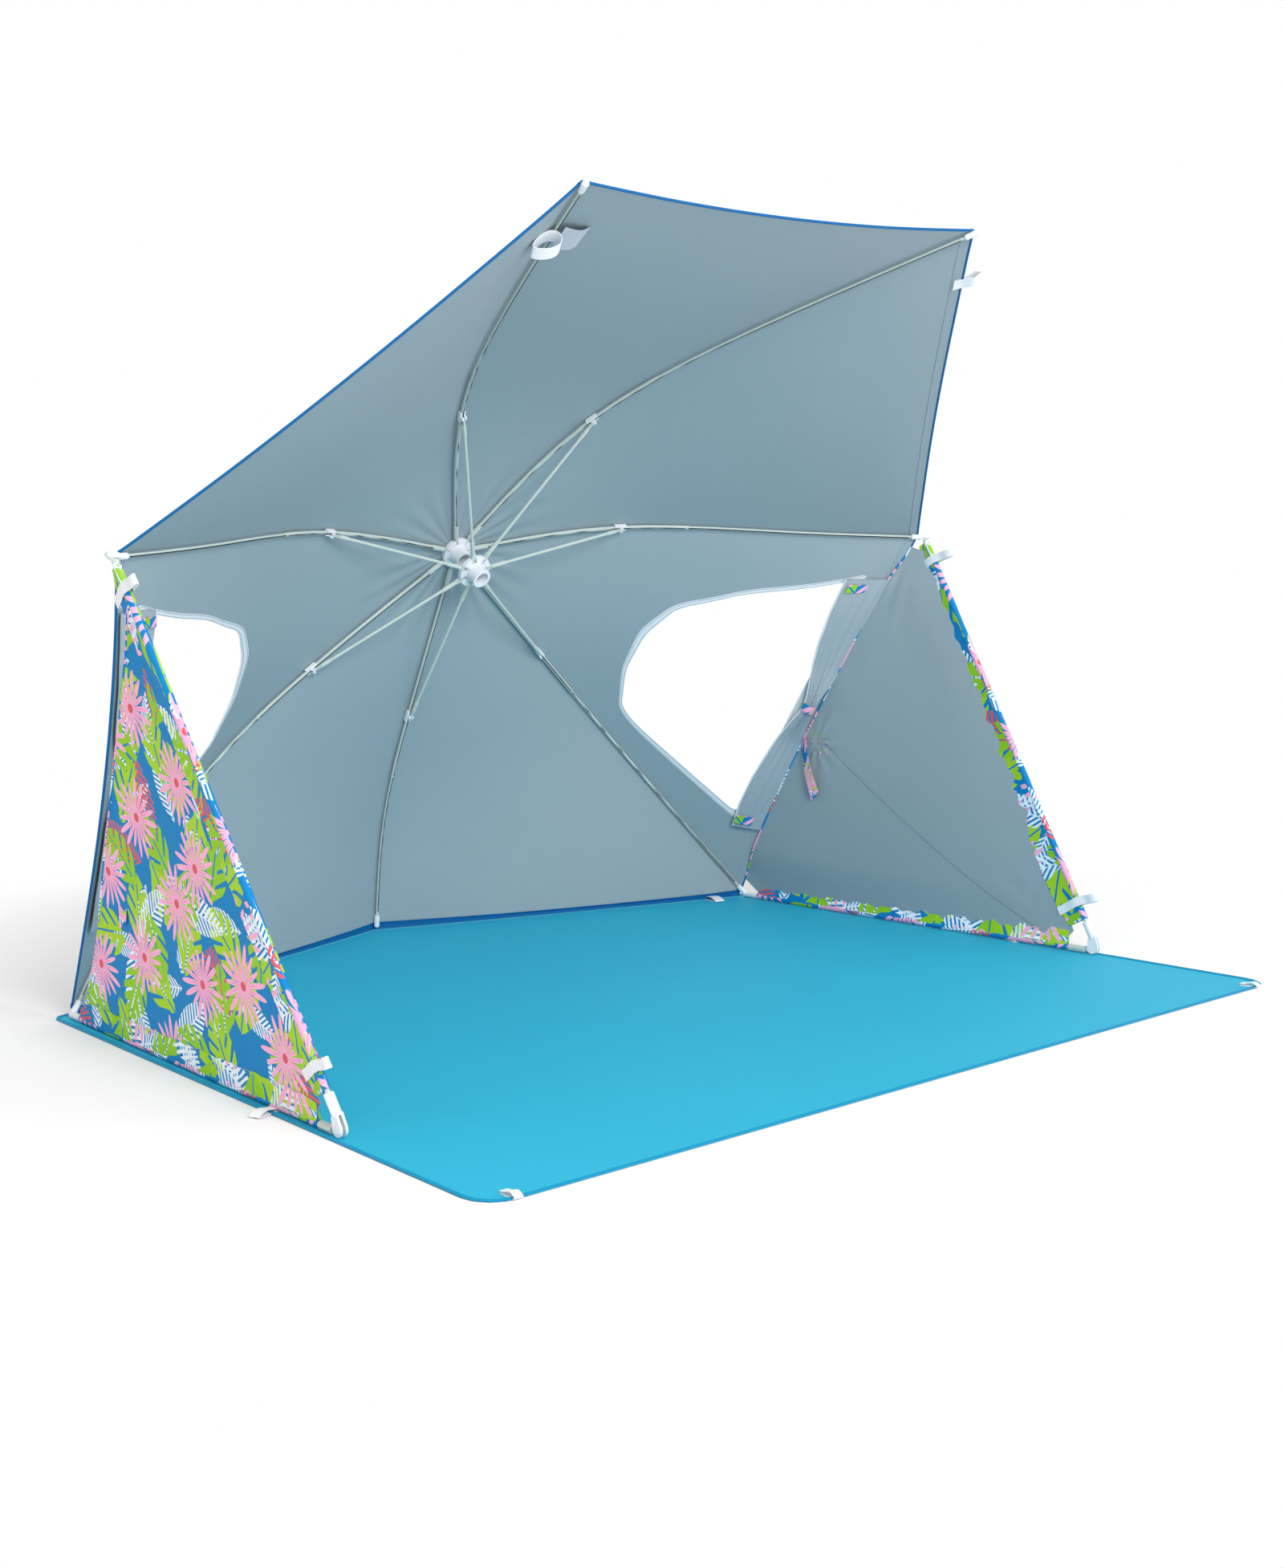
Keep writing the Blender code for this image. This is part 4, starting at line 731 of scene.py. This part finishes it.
# ---------------------------------------------------------------- gathered window curtains
# Shares along a curtain, and how far down the gore its free edge lies there
FREE_EDGE = ((0.0, 0.14, 0.27, 0.40, 0.47, 0.50, 0.53, 0.60, 0.68, 0.82, 0.92, 1.0),
             (0.904, 0.910, 0.920, 0.940, 0.9500, 0.9515, 0.9500, 0.943, 0.936, 0.928, 0.927, 0.932))
CURTAIN_FROM, CURTAIN_SPAN = 0.118, 0.742
SEWN_EDGE, TIE_PULL, FULLNESS = 0.990, 0.0170, 1.11
FLAT_DEPTH, TIED_DEPTH = 0.0055, 0.0065
CURTAIN_ROWS, CURTAIN_SIDES, FOLD_DEPTH = 110, 220, 0.0058
TAB_HALF_LENGTH, TAB_HALF_WIDTH = 0.019, 0.0095
TIE_HALF_WIDTH, TIE_THICKNESS, TIE_COUNT = 0.0085, 0.0016, 72


def curtain_rows(side, shares):
    """Centre, inward and along directions, half width and half depth of the gathered cloth, in the hub frame."""
    gore = "canopy_gore_side_" + side
    across = CURTAIN_FROM + shares * CURTAIN_SPAN
    near_tie = smooth_share(1.0 - np.abs(shares - 0.5) / 0.16)
    free, sewn = np.interp(shares, *FREE_EDGE), SEWN_EDGE - TIE_PULL * near_tie
    middle = (free + sewn) / 2
    half_width = (sewn - free) / 2 * FULLNESS
    half_depth = FLAT_DEPTH + TIED_DEPTH * near_tie
    on = gore_hub(gore, middle, across)
    along = gore_hub(gore, middle, across + 0.01) - on
    inward = np.cross(along, gore_hub(gore, middle - 0.01, across) - on)
    inward /= np.linalg.norm(inward, axis=1)[:, None]
    inward *= np.sign(inward[:, 2])[:, None]
    along /= np.linalg.norm(along, axis=1)[:, None]
    lift = half_depth * 1.25 + 0.0006 + 0.0040 * near_tie
    return on + inward * lift[:, None], inward, along, half_width, half_depth


def pleats(t, share):
    """Long folds at fixed shares of the width, so that they run together at the tie."""
    near = 0.30 + 0.70 * bell(share - 0.5, 0.17)
    return near * (0.55 * np.abs(np.sin(pi * (1.35 * t + 0.30 + 0.25 * np.sin(4.0 * share)))) - 0.2
                   + 0.30 * np.cos(2 * pi * (2.1 * t - 0.55 * share) + 1.1)
                   + 0.16 * np.cos(2 * pi * (4.3 * t + 0.45 * share) + 2.6) * bell(share - 0.5, 0.22))


def curtain(side, low_half):
    """Rings p(a) = c + D (cos a + fold(sin a)) inwards + W sin a across, slanted and closed at both ends."""
    soup = Soup()
    shares = half_span(low_half, CURTAIN_ROWS)
    a = np.arange(CURTAIN_SIDES) * 2 * pi / CURTAIN_SIDES
    centre, inward, along, half_width, half_depth = curtain_rows(side, shares)
    other = np.cross(along, inward)
    gore = "canopy_gore_side_" + side
    to_crown = gore_hub(gore, 0.90, 0.5) - gore_hub(gore, 0.95, 0.5)
    sign = 1.0 if to_crown @ other[0] > 0 else -1.0
    face, rows = np.cos(a)[None], shares[:, None]
    deep = (half_depth[:, None] * face * 0.80 + 0.0015 * np.sin(17 * rows) * face
            + pleats(np.sin(a)[None], rows) * np.sign(face) * np.abs(face) ** 0.6 * FOLD_DEPTH)
    wide = half_width[:, None] * np.sin(a)[None] * (1 + 0.012 * np.sin(23 * rows) + 0.010 * np.sin(51 * rows))
    slant = np.where(shares < 0.5, 0.42 * smooth_share(1 - shares / 0.30),
                     0.16 * smooth_share(1 - (1 - shares) / 0.30))
    slide = slant[:, None] * (wide * sign + half_width[:, None] * 0.2)
    rings = (centre[:, None] + deep[..., None] * inward[:, None] + wide[..., None] * other[:, None]
             + slide[..., None] * along[:, None])
    flat = np.stack((np.repeat(shares, CURTAIN_SIDES) * 0.62,
                     (half_width[:, None] * np.sin(a)[None] * 2.2).ravel()), -1)
    points, quads = soup.sweep(to_world(rings), flat, 0)
    # binding on the free edge
    edge = centre + other * (sign * half_width * 0.985)[:, None] + along * (slant * half_width * 1.185)[:, None]
    soup.tube(to_world(edge), 0.0020, 1)
    # printed tab rolled at the outer end
    k, way = (6, 1.0) if low_half else (CURTAIN_ROWS - 7, -1.0)
    t = np.linspace(-1, 1, 24)
    place = sign * half_width[k] * 0.42 + t * TAB_HALF_LENGTH
    spine = (centre[k] + other[k] * place[:, None] + inward[k] * (half_depth[k] + 0.0030 - 0.001 * t**2)[:, None]
             + along[k] * (slant[k] * (place * sign + half_width[k] * 0.2) + way * 0.002)[:, None])
    soup.band(to_world(spine), along[k] @ HUB.T, TAB_HALF_WIDTH, 0.0016, 2)
    made = soup.make("curtain_%s_%s" % (side, "a" if low_half else "b"), [curtain_cloth_painted_lighter, tape, printed], 60.0)
    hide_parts("window_curtain_" + side)
    rib = side if low_half else "back_" + side
    hold(made, rib)
    long = float(lengths(centre)[-1])
    round(area_of(points, quads) / 2 / long, 4)


def tie(side):
    """A printed band round the waist, rounded over and slightly creased."""
    soup = Soup()
    centre, inward, along, half_width, half_depth = (k[0] for k in curtain_rows(side, np.array((0.5,))))
    other = np.cross(along, inward)
    a = np.arange(TIE_COUNT) * 2 * pi / TIE_COUNT
    t = np.linspace(-TIE_HALF_WIDTH, TIE_HALF_WIDTH, 7)
    wide, deep = half_width + TIE_THICKNESS, half_depth * 1.18 + TIE_THICKNESS
    crease = 1 + 0.03 * np.sin(5 * a + 0.4) + 0.02 * np.sin(11 * a)
    ring = (np.cos(a) * deep * crease)[:, None] * inward + (np.sin(a) * wide * crease)[:, None] * other
    crown = 1 + 0.05 * (1 - (t / TIE_HALF_WIDTH) ** 2)
    loop = np.stack([centre + ring * scale + along * x for scale, x in zip((*crown, *[0.93] * 7), (*t, *t[::-1]))], 1)
    n, m = loop.shape[:2]
    points = to_world(loop.reshape(-1, 3))
    faces = facing(points, ring_faces(n, m), points - np.repeat(to_world(loop.mean(1)), m, 0))
    soup.add(points, faces, np.stack((np.repeat(a * 0.0137, m), np.tile(np.r_[t, t[::-1]], n)), -1))
    made = soup.make("tie_" + side, [printed], 45.0)
    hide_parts("curtain_tie_" + side)
    hold(made, side)


for side in ("left", "right"):
    curtain(side, True)
    curtain(side, False)
for side in ("left", "right"):
    tie(side)


# ---------------------------------------------------------------- wings
# Wing frame: the foot is the origin, up runs to the hinge, across to the corner, ground_side out under the cloth
PIN_OFFSET, ROD_OFFSET = 0.0095, 0.0070
ROD_LOW, ROD_HIGH, ROD_LOW_ACROSS, ROD_LOW_OUT, ROD_HIGH_OUT = 0.0204, 0.8732, 0.0068, 0.0005, 0.0166
HEM_FROM, PANEL_FROM, FRONT_REACH, CORNER_GAP = 0.056, 0.060, 0.818, 0.030
FRONT_HEM_LENGTH, FRONT_HEM_RADIUS, GROUND_HEM_ENDS, GROUND_HEM_RADIUS = 0.842, 0.0062, 0.094, 0.0060
FRONT_HEM_DEPTHS = (0.0, 0.07, 0.5, 0.86, 0.95, 1.0), (0.036, 0.047, 0.046, 0.041, 0.034, 0.020)
GROUND_HEM_DEPTHS = (0.0, 0.06, 0.94, 1.0), (0.030, 0.037, 0.035, 0.022)
# The left panel's loose back edge: places along up and across
LOOSE_BACK = np.array(((0.414, 0.693), (0.438, 0.645), (0.472, 0.588), (0.551, 0.480), (0.650, 0.315), (0.715, 0.203),
                       (0.761, 0.125), (0.800, 0.062), (0.836, 0.022), (0.868, 0.012)))
PANEL_ROWS, PANEL_COLUMNS, SEAM_COUNT, STRAP_COUNT = 120, 90, 160, 40
PUCKER = (0.640, 0.400)
STRAP_PLIES = ((0.26, 0.150), (0.30, 0.143))
BAND_PLACES = ((0.856, 0.044), (0.092, 0.042))
BAND_HALF_WIDTH, BAND_THICKNESS = 0.0085, 0.0011


def wing_frame(side):
    """Foot, corner, rod directions and normal of a wing, from its two joints."""
    hinge = np.array(joints["wing_fold_" + side]["pos_m"])
    foot = np.array(joints["ground_rod_fold_" + side]["pos_m"])
    corner = to_world(rib_point("back_" + side, rib_end("back_" + side)))
    pin = unit(joints["wing_fold_" + side]["axis"])
    up = unit(hinge - foot)
    for _ in range(6):
        normal = unit(np.cross(up, corner - foot))
        p = pin if np.dot(np.cross(pin, up), np.cross(normal, up)) > 0 else -pin
        up = unit(hinge - np.cross(p, up) * PIN_OFFSET - foot + np.cross(normal, up) * ROD_OFFSET)
    normal = unit(np.cross(up, corner - foot))
    length = np.linalg.norm(corner - foot)
    turn = -np.arcsin(ROD_OFFSET / length)
    way = (corner - foot) / length
    way = unit(way * cos(turn) + np.cross(normal, way) * sin(turn))
    return foot, corner, up, way, normal


def rod_hem(name, body, start, way, into, normal, length, radius, depths, flat_shift):
    """A printed tube of cloth round a rod, and its flat seam. The seam runs from the tube to a depth that changes
    along it, with z = 1 mm + (0.9 R - 1 mm) (1 - x / depth)^1.8."""
    s = np.linspace(0, 1, 140)
    tube = Soup()
    tube.tube(start + way * (s * length)[:, None],
              radius * (1 + 0.03 * np.sin(s * 71.0) + 0.02 * np.sin(s * 163.0)), 0, 24, up=normal)
    s = np.linspace(0, 1, 110)
    run = np.linspace(1, 0, 13)
    depth = np.interp(s, *depths)[:, None]
    ripple = (0.00045 * np.sin(s * 61.0) + 0.0004 * np.sin(s * 143.0 + 1.0))[:, None]
    x = radius * 0.3 + (depth - radius * 0.3) * run + ripple * 2.0 * (run > 0.5)
    z = 0.0010 + (0.9 * radius - 0.0010) * (1 - run) ** 1.8 + ripple * np.sin(pi * (1 - run)) * 1.6
    x, z = np.hstack((x, x[:, ::-1])), np.hstack((z, -z[:, ::-1]))
    rings = (start + way * (s * length)[:, None])[:, None] + x[..., None] * into + z[..., None] * normal
    girth = lengths(rings[0])
    seam = Soup()
    seam.sweep(rings, np.stack((np.tile(girth, len(s)), np.repeat(s * length, len(girth)) + flat_shift), -1))
    hems = [settle(tube.make(name, [printed]), body),
            settle(seam.make(name + "_seam", [printed]), body)]
    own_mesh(hems[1])
    return hems


def wing(side):
    """Panel q(s, v) = F(s) + (B(s) - F(s)) v between the front rod and the back edge, drawn down to the ground
    rod near the foot, with a swell in the middle; then its piping, seam, tie strap, rod hems and bands."""
    foot, corner, up, way, normal = wing_frame(side)
    out = normal if side == "left" else -normal
    across = np.cross(normal, up)
    rod_low = foot + up * ROD_LOW - across * ROD_LOW_ACROSS - out * ROD_LOW_OUT
    rise = unit(foot + up * ROD_HIGH - out * ROD_HIGH_OUT - rod_low)

    def on_rod(x):
        return rod_low + (np.asarray(x, float)[..., None] - ROD_LOW) * rise

    ground_length = np.linalg.norm(corner - foot)
    ground_side = np.cross(normal, way)
    n, m = PANEL_ROWS, PANEL_COLUMNS
    s, v = np.linspace(0, 1, n), np.linspace(0, 1, m)
    front = on_rod(PANEL_FROM + FRONT_REACH * s) + across * FRONT_HEM_RADIUS
    if side == "right":
        back = gore_world("canopy_gore_side_right", np.full(n, 0.9995), 0.970 - 0.940 * s)
        back = back - out * (0.0150 * smooth_share(np.minimum(s, 1 - s) * 9))[:, None]
    else:
        row = resampled(bezier(LOOSE_BACK, 12), n)
        back = foot + up * row[:, :1] + across * row[:, 1:] - out * (ROD_HIGH_OUT * row[:, :1] / ROD_HIGH)
    low = foot + way * (PANEL_FROM + (ground_length - CORNER_GAP - PANEL_FROM) * v)[:, None] + ground_side * 0.0008
    low[0], low[-1] = (front[0] + low[0]) / 2, back[0]
    base = front[:, None] + (back - front)[:, None] * v[None, :, None]
    base += smooth_share(1 - s / 0.35)[:, None, None] * (low - base[0])[None]
    x, y, height = (base - foot) @ up, (base - foot) @ across, -((base - foot) @ ground_side)
    inner = (smooth_share((y - 0.050) / 0.07) * smooth_share((height - 0.036) / 0.07)
             * np.minimum(1.0, (1 - v) * 10 + 0.10)[None])
    S, V = s[:, None], v[None]
    px, py = x - PUCKER[0], y - PUCKER[1]
    # a broad swell, a fan from the foot, gathers by the head and the back edge, and rays round the pucker
    swell = (0.0040 * np.sin(pi * S) * np.sin(pi * V) * np.sin(5 * x + 3 * y + 0.6)
             + 0.0024 * np.sin(30 * np.arctan2(y + 0.02, x + 0.02)) * bell(np.hypot(x, y) - 0.09, 0.10)
             + 0.0024 * np.sin(26.0 * V + 2.0) * bell(S - 0.95, 0.10)
             + 0.0014 * np.sin(40 * S + 3.0 * V) * bell(V - 1.0, 0.12)
             + 0.0028 * np.sin(11 * np.arctan2(py, px) + 1.0) * bell(np.hypot(px, py * 1.1), 0.055))
    grid = base + (swell * inner)[..., None] * normal
    points = grid.reshape(-1, 3)
    faces = facing(points, grid_faces(n, m), out)
    panel = Soup()
    panel.shell(points, faces, np.stack((y, x), -1).reshape(-1, 2), CLOTH, 0, 1, -CLOTH / 2)
    panel.tube(grid[:, -1], PIPING_RADIUS, 1, 10)
    # seam from the back edge to the foot, puckered where the strap pulls
    q = np.linspace(0, 1, SEAM_COUNT)
    i = 0.44 * (n - 1) + (0.012 - 0.44) * (n - 1) * q
    j = ((m - 1) * 0.93 + (4.0 - (m - 1) * 0.93) * q).astype(int)
    i0 = i.astype(int)
    path = grid[i0, j] * (1 - (i - i0))[:, None] + grid[np.minimum(i0 + 1, n - 1), j] * (i - i0)[:, None]
    path = np.stack([np.convolve(np.r_[[k[0]] * 6, k, [k[-1]] * 6], np.ones(13) / 13, "valid") for k in path.T], -1)
    panel.tube(path - out * 0.0006, 0.0008 + 0.0002 * np.sin(q * 260), 2, 6)
    # a hanging tie strap, two plies, at the middle of the back edge
    at = grid[int(0.435 * n), -1]
    z, rows = np.linspace(0, 1, STRAP_COUNT), np.linspace(-1, 1, 5)
    for ply, (lean, reach) in enumerate(STRAP_PLIES):
        swing = 0.003 + 0.0025 * ply + 0.010 * np.sin(pi * z * 0.9) + 0.006 * z
        path = at - UP * (reach * z)[:, None] - out * swing[:, None] - across * (lean * reach * z)[:, None]
        turn = 0.35 * np.sin(2.2 * z + 0.3 + ply)
        facing_way = across * np.cos(turn)[:, None] + out * np.sin(turn)[:, None]
        width = 0.0056 + 0.0046 * smooth_share(z * 3)
        ply_points = (path[:, None] + facing_way[:, None] * (width[:, None] * rows)[..., None]).reshape(-1, 3)
        flat = np.stack((np.tile(rows, STRAP_COUNT) * 0.009 + 0.4, np.repeat(z, 5) * reach), -1)
        panel.shell(ply_points, grid_faces(STRAP_COUNT, 5), flat, 0.0009, 1)
    made = settle(panel.make("wing_panel_cloth_" + side, [inside, printed, thread]), "wing_" + side)
    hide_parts("wing_panel_" + side)
    hems = rod_hem("wing_front_hem_" + side, "wing_" + side, on_rod(HEM_FROM), rise, across, normal,
                   FRONT_HEM_LENGTH, FRONT_HEM_RADIUS, FRONT_HEM_DEPTHS, 0.3)
    hems += rod_hem("wing_ground_hem_" + side, "ground_rod_" + side,
                    foot + way * HEM_FROM + ground_side * ROD_OFFSET, way, -ground_side, normal,
                    ground_length - GROUND_HEM_ENDS, GROUND_HEM_RADIUS, GROUND_HEM_DEPTHS, 1.3)
    round(area_of(points, faces), 4)
    tuple(on_rod(0.5))
    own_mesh(made)

    # bands of webbing round the front hem, each with a loose loop outside it
    trim = Soup()
    droop = -up * 0.004 + normal * 0.002
    for at, reach in BAND_PLACES:
        half = ((0.046, 0.0022), (0.026, 0.0036), (0.010, 0.0068), (0.0, 0.0076), (-0.009, 0.0066), (-0.020, 0.0046))
        outer = ((-0.034, 0.0052), (-reach, 0.0030), (-reach - 0.0025, 0.0), (-reach, -0.0030), (-0.034, -0.0042))
        smooth = bezier(np.array((*half, *outer, *((x, -z) for x, z in half[::-1]))), 7)
        far = smooth_share(-smooth[:, :1] / reach)
        path = on_rod(at) + smooth[:, :1] * across + smooth[:, 1:] * normal + far * droop * 2.0
        trim.band(path, up, BAND_HALF_WIDTH, BAND_THICKNESS)
    settle(trim.make("wing_trim_" + side, [webbing]), "wing_" + side)


for side in ("left", "right"):
    wing(side)


# ---------------------------------------------------------------- small cloth trim
TRIM_RIB, TRIM_RADIUS, LOOP_THICKNESS = "top_left", 0.902, 0.0009
HEM_LOOP_OUT, HEM_LOOP_IN, HEM_LOOP_HALF, GROUND_LOOP_TAIL = 0.034, 0.016, 0.0105, 0.020


def rib_trims():
    """A webbing loop round a top rib, with a blank care label beside it."""
    rib, r, body = TRIM_RIB, TRIM_RADIUS, "rib_arm_" + TRIM_RIB
    here = to_world(rib_point(rib, r, -0.006))
    tangent = unit(to_world(rib_point(rib, r + 0.01, -0.006)) - here)
    inward = unit(to_world(rib_point(rib, r, -0.02)) - here)
    right = np.cross(tangent, inward)
    right *= 1.0 if right[0] > 0 else -1.0
    a = np.linspace(0, 2 * pi, 60)[:-1]
    ring = (here + inward * (0.009 + 0.013 * np.sin(a) + 0.002 * np.sin(2 * a))[:, None]
            - right * (0.023 - 0.025 * np.cos(a))[:, None])
    ring = np.vstack((ring, ring[:1]))
    strip("rib_loop", body, ring[::-1], tangent - inward * 0.25, 0.0125, 0.0010, webbing)
    q = np.linspace(0, 1, 30)
    lie = unit(right - tangent * 0.45)
    path = here + lie * (0.004 + 0.054 * q)[:, None] + inward * (0.003 + 0.006 * np.sin(pi * q) + 0.006 * q)[:, None]
    strip("care_label", body, path, tangent + right * 0.30 - inward * 0.12, 0.0235, 0.0005, label)


def hem_loop(name, gore, v):
    """A webbing loop sewn inside a hem and standing out past it."""
    edge, before, beside = gore_world(gore, np.array((1.0, 0.97, 1.0)), np.array((v, v, v + 0.02)))
    outside, along = unit(edge - before), unit(beside - edge)
    lid = unit(np.cross(outside, along))
    lid *= 1.0 if lid @ AXIS > 0 else -1.0
    q = np.linspace(-1, 1, 61)
    reach = HEM_LOOP_OUT - (HEM_LOOP_OUT + HEM_LOOP_IN) * np.abs(q) ** 1.25
    open_up = 0.0062 * np.sign(q) * np.minimum(1, np.abs(q) * 3) * bell(np.abs(q) - 0.35, 0.30)
    path = edge + outside * reach[:, None] + lid * (0.0022 + 0.0008 * np.sign(q) + open_up)[:, None]
    rib = GORES[gore][0 if v < 0.5 else 1]
    strip(name, "rib_arm_" + rib, path, along, HEM_LOOP_HALF, LOOP_THICKNESS, webbing)


def gather(piece):
    """Gives the ground sheet, or a piece sewn to it, a mesh of its own."""
    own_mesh(piece)


def ground_loop(name, at, way, size=0.036, half=0.009):
    """A stake loop lying on the floor, sewn under the sheet's edge."""
    way = unit((*way, 0.0))
    q = np.linspace(-1, 1, 61)
    reach = size - (size + GROUND_LOOP_TAIL) * np.abs(q) ** 1.2
    lift = (0.0030 + 0.0012 * np.sign(q) * np.minimum(1, np.abs(q) * 4)
            + 0.0045 * bell(np.abs(q) - 0.4, 0.3) * (q > 0))
    path = np.array((*at, 0.0)) + way * reach[:, None] + UP * lift[:, None]
    gather(strip(name, "tent", path, (-way[1], way[0], 0.0), half, LOOP_THICKNESS, webbing))


rib_trims()
hem_loop("hem_loop", "canopy_gore_upper_right", 0.865)
for letter, sign in (("a", -1.0), ("b", 1.0)):
    ground_loop("side_loop_" + letter, (sign * 0.884, -0.215), (sign, -0.35))
    ground_loop("corner_loop_" + letter, (sign * 0.868, -0.738), (sign * 0.10, -1.0), 0.014, 0.007)
    ground_loop("back_loop_" + letter, (sign * 0.745, 0.518), (-sign * 0.25, -1.0), 0.052, 0.011)


# ---------------------------------------------------------------- ground sheet
SHEET = np.array(((-0.918, -0.7445), (0.918, -0.7445), (0.838, 0.4975), (0.0, 0.7445), (-0.838, 0.4975)))
SHEET_CORNER, SHEET_CENTRE = 0.045, np.array((0.0, -0.08))
SHEET_RINGS, RIM_COUNT, BINDING_COUNT = 39, 240, 300
BINDING_HEIGHT, BINDING_RADIUS, BINDING_FLATTEN = 0.0016, 0.0042, 0.36


def sheet_outline():
    """The sheet's outline with round front corners."""
    out = []
    for i, corner in enumerate(SHEET):
        a, b = unit(SHEET[i - 1] - corner), unit(SHEET[(i + 1) % len(SHEET)] - corner)
        if i >= 2:
            out.append(corner)
            continue
        half = np.arccos(a @ b) / 2
        start, end = corner + a * SHEET_CORNER / np.tan(half), corner + b * SHEET_CORNER / np.tan(half)
        centre = corner + unit(a + b) * SHEET_CORNER / np.sin(half)
        out += [centre + unit(start + (end - start) * t - centre) * SHEET_CORNER for t in np.linspace(0, 1, 12)]
    return np.array(out)


def ground():
    """Rings from the centre to the rim on a flat base, z = 0.9 mm + 0.6 mm of soft waves that end at the rim."""
    outline = sheet_outline()
    closed = np.vstack((outline, outline[:1]))
    rim = resampled(closed, RIM_COUNT + 1)[:-1]
    rings = np.linspace(0.0, 1.0, SHEET_RINGS + 1)[1:]
    x, y = (SHEET_CENTRE + (rim[None] - SHEET_CENTRE) * rings[:, None, None]).reshape(-1, 2).T
    wave = np.sin(x * 9 + 1.0) * np.sin(y * 7.0) + 0.6 * np.sin(x * 23 + y * 17)
    z = np.clip(0.0009 + 0.0006 * wave * (1 - np.repeat(rings, RIM_COUNT)**4), 0.0003, 0.0020)
    top = np.vstack((np.stack((x, y, z), -1), (*SHEET_CENTRE, 0.0009)))
    hub = len(x)
    quads = facing(top, grid_faces(SHEET_RINGS, RIM_COUNT, wrap=True), UP)
    faces = [tuple(f) for f in quads] + [(k, (k + 1) % RIM_COUNT, hub) for k in range(RIM_COUNT)]
    soup = Soup()
    soup.skin(top * (1.0, 1.0, 0.0), top, faces, top[:, :2], 0, 0, 1)
    mat = settle(soup.make("ground_cloth_sheet", [mat_top, mat_edge]), "tent")
    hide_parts("ground_sheet")
    soup = Soup()
    path = resampled(closed, BINDING_COUNT + 1)[:-1]
    soup.tube(np.column_stack((path, np.full(BINDING_COUNT, BINDING_HEIGHT))), BINDING_RADIUS, 0, 6, closed=True,
              flatten=BINDING_FLATTEN, up=UP)
    binding = settle(soup.make("ground_binding_edge", [mat_edge]), "tent")
    x, y = outline.T
    gather(mat)
    gather(binding)


ground()

# ---------------------------------------------------------------- floor, light and camera
FLOOR_HALF, FLOOR_HEIGHT, FLOOR_ALBEDO = 30.0, -0.0004, 0.95
WHITE_FROM, WHITE_TO = 1.15, 1.75  # radii where the floor, as the camera sees it, turns white
ROOM_LIGHT = 0.82
# Name, place, aim, size and watts
LAMPS = (("key", (-1.5, -4.9, 3.1), (0, 0.2, 0.4), 2.6, 205), ("side", (3.2, -4.0, 1.6), (-0.5, 0.3, 0.3), 2.4, 25))
# The photograph's camera, fitted in its own pixels
WIDTH, HEIGHT, FOCAL, CENTRE_X, CENTRE_Y, SENSOR = 1600, 1954, 2712.5, 745.2, 989.7, 36.0
CAMERA_OFFSET, AZIMUTH, ELEVATION = np.array((-2.578, -3.230, 0.122)), radians(-42.31), radians(8.06)


def aimed(name, data, place, way):
    thing = bpy.data.objects.new(name, data)
    thing.location = place
    thing.rotation_euler = Vector(way).to_track_quat("-Z", "Y").to_euler()
    bpy.context.scene.collection.objects.link(thing)
    return thing


def studio():
    scene = bpy.context.scene
    mesh = bpy.data.meshes.new("floor")
    corners = [(x * FLOOR_HALF, y * FLOOR_HALF, FLOOR_HEIGHT) for x, y in ((-1, -1), (1, -1), (1, 1), (-1, 1))]
    mesh.from_pydata(corners, [], [(0, 1, 2, 3)])
    floor = bpy.data.objects.new("floor", mesh)
    look = Look("floor_white", 0.9)
    look.set(Base_Color=(FLOOR_ALBEDO,) * 3, Specular_IOR_Level=0.0)
    radius = look.v("LENGTH", look.v("MULTIPLY", look.where("Object"), (1.0, 1.0, 0.0)), out=1)
    far = look.node("ShaderNodeMapRange", ins={0: radius, 1: WHITE_FROM, 2: WHITE_TO},
                    interpolation_type="SMOOTHSTEP")
    seen = look.node("ShaderNodeLightPath", out="Is Camera Ray")
    blank = look.node("ShaderNodeEmission")
    joined = look.node("ShaderNodeMixShader", ins=(far * seen, Value(look, look.bsdf.outputs[0]), blank))
    look.put(look.tree.nodes["Material Output"].inputs["Surface"], joined)
    mesh.materials.append(look.mat)
    scene.collection.objects.link(floor)
    world = bpy.data.worlds.new("studio")
    scene.world = world
    world.use_nodes = True
    tree = world.node_tree
    back = tree.nodes["Background"]
    back.inputs["Color"].default_value = (1.0, 1.0, 1.0, 1.0)
    rays = tree.nodes.new("ShaderNodeLightPath")
    level = tree.nodes.new("ShaderNodeMapRange")
    level.inputs["To Min"].default_value = ROOM_LIGHT
    tree.links.new(rays.outputs["Is Camera Ray"], level.inputs["Value"])
    tree.links.new(level.outputs["Result"], back.inputs["Strength"])
    for name, place, aim, size, power in LAMPS:
        light = bpy.data.lights.new(name, "AREA")
        light.shape, light.size, light.energy = "DISK", size, power
        aimed(name, light, place, Vector(aim) - Vector(place))
    camera = bpy.data.cameras.new("camera")
    camera.lens, camera.sensor_width, camera.sensor_fit = SENSOR * FOCAL / HEIGHT, SENSOR, "AUTO"
    camera.shift_x, camera.shift_y = (WIDTH / 2 - CENTRE_X) / HEIGHT, (CENTRE_Y - HEIGHT / 2) / HEIGHT
    camera.clip_end = 100
    way = (-sin(AZIMUTH) * cos(ELEVATION), cos(AZIMUTH) * cos(ELEVATION), -sin(ELEVATION))
    scene.camera = aimed("camera", camera, CROWN + CAMERA_OFFSET, way)
    scene.view_settings.view_transform = "Standard"


studio()
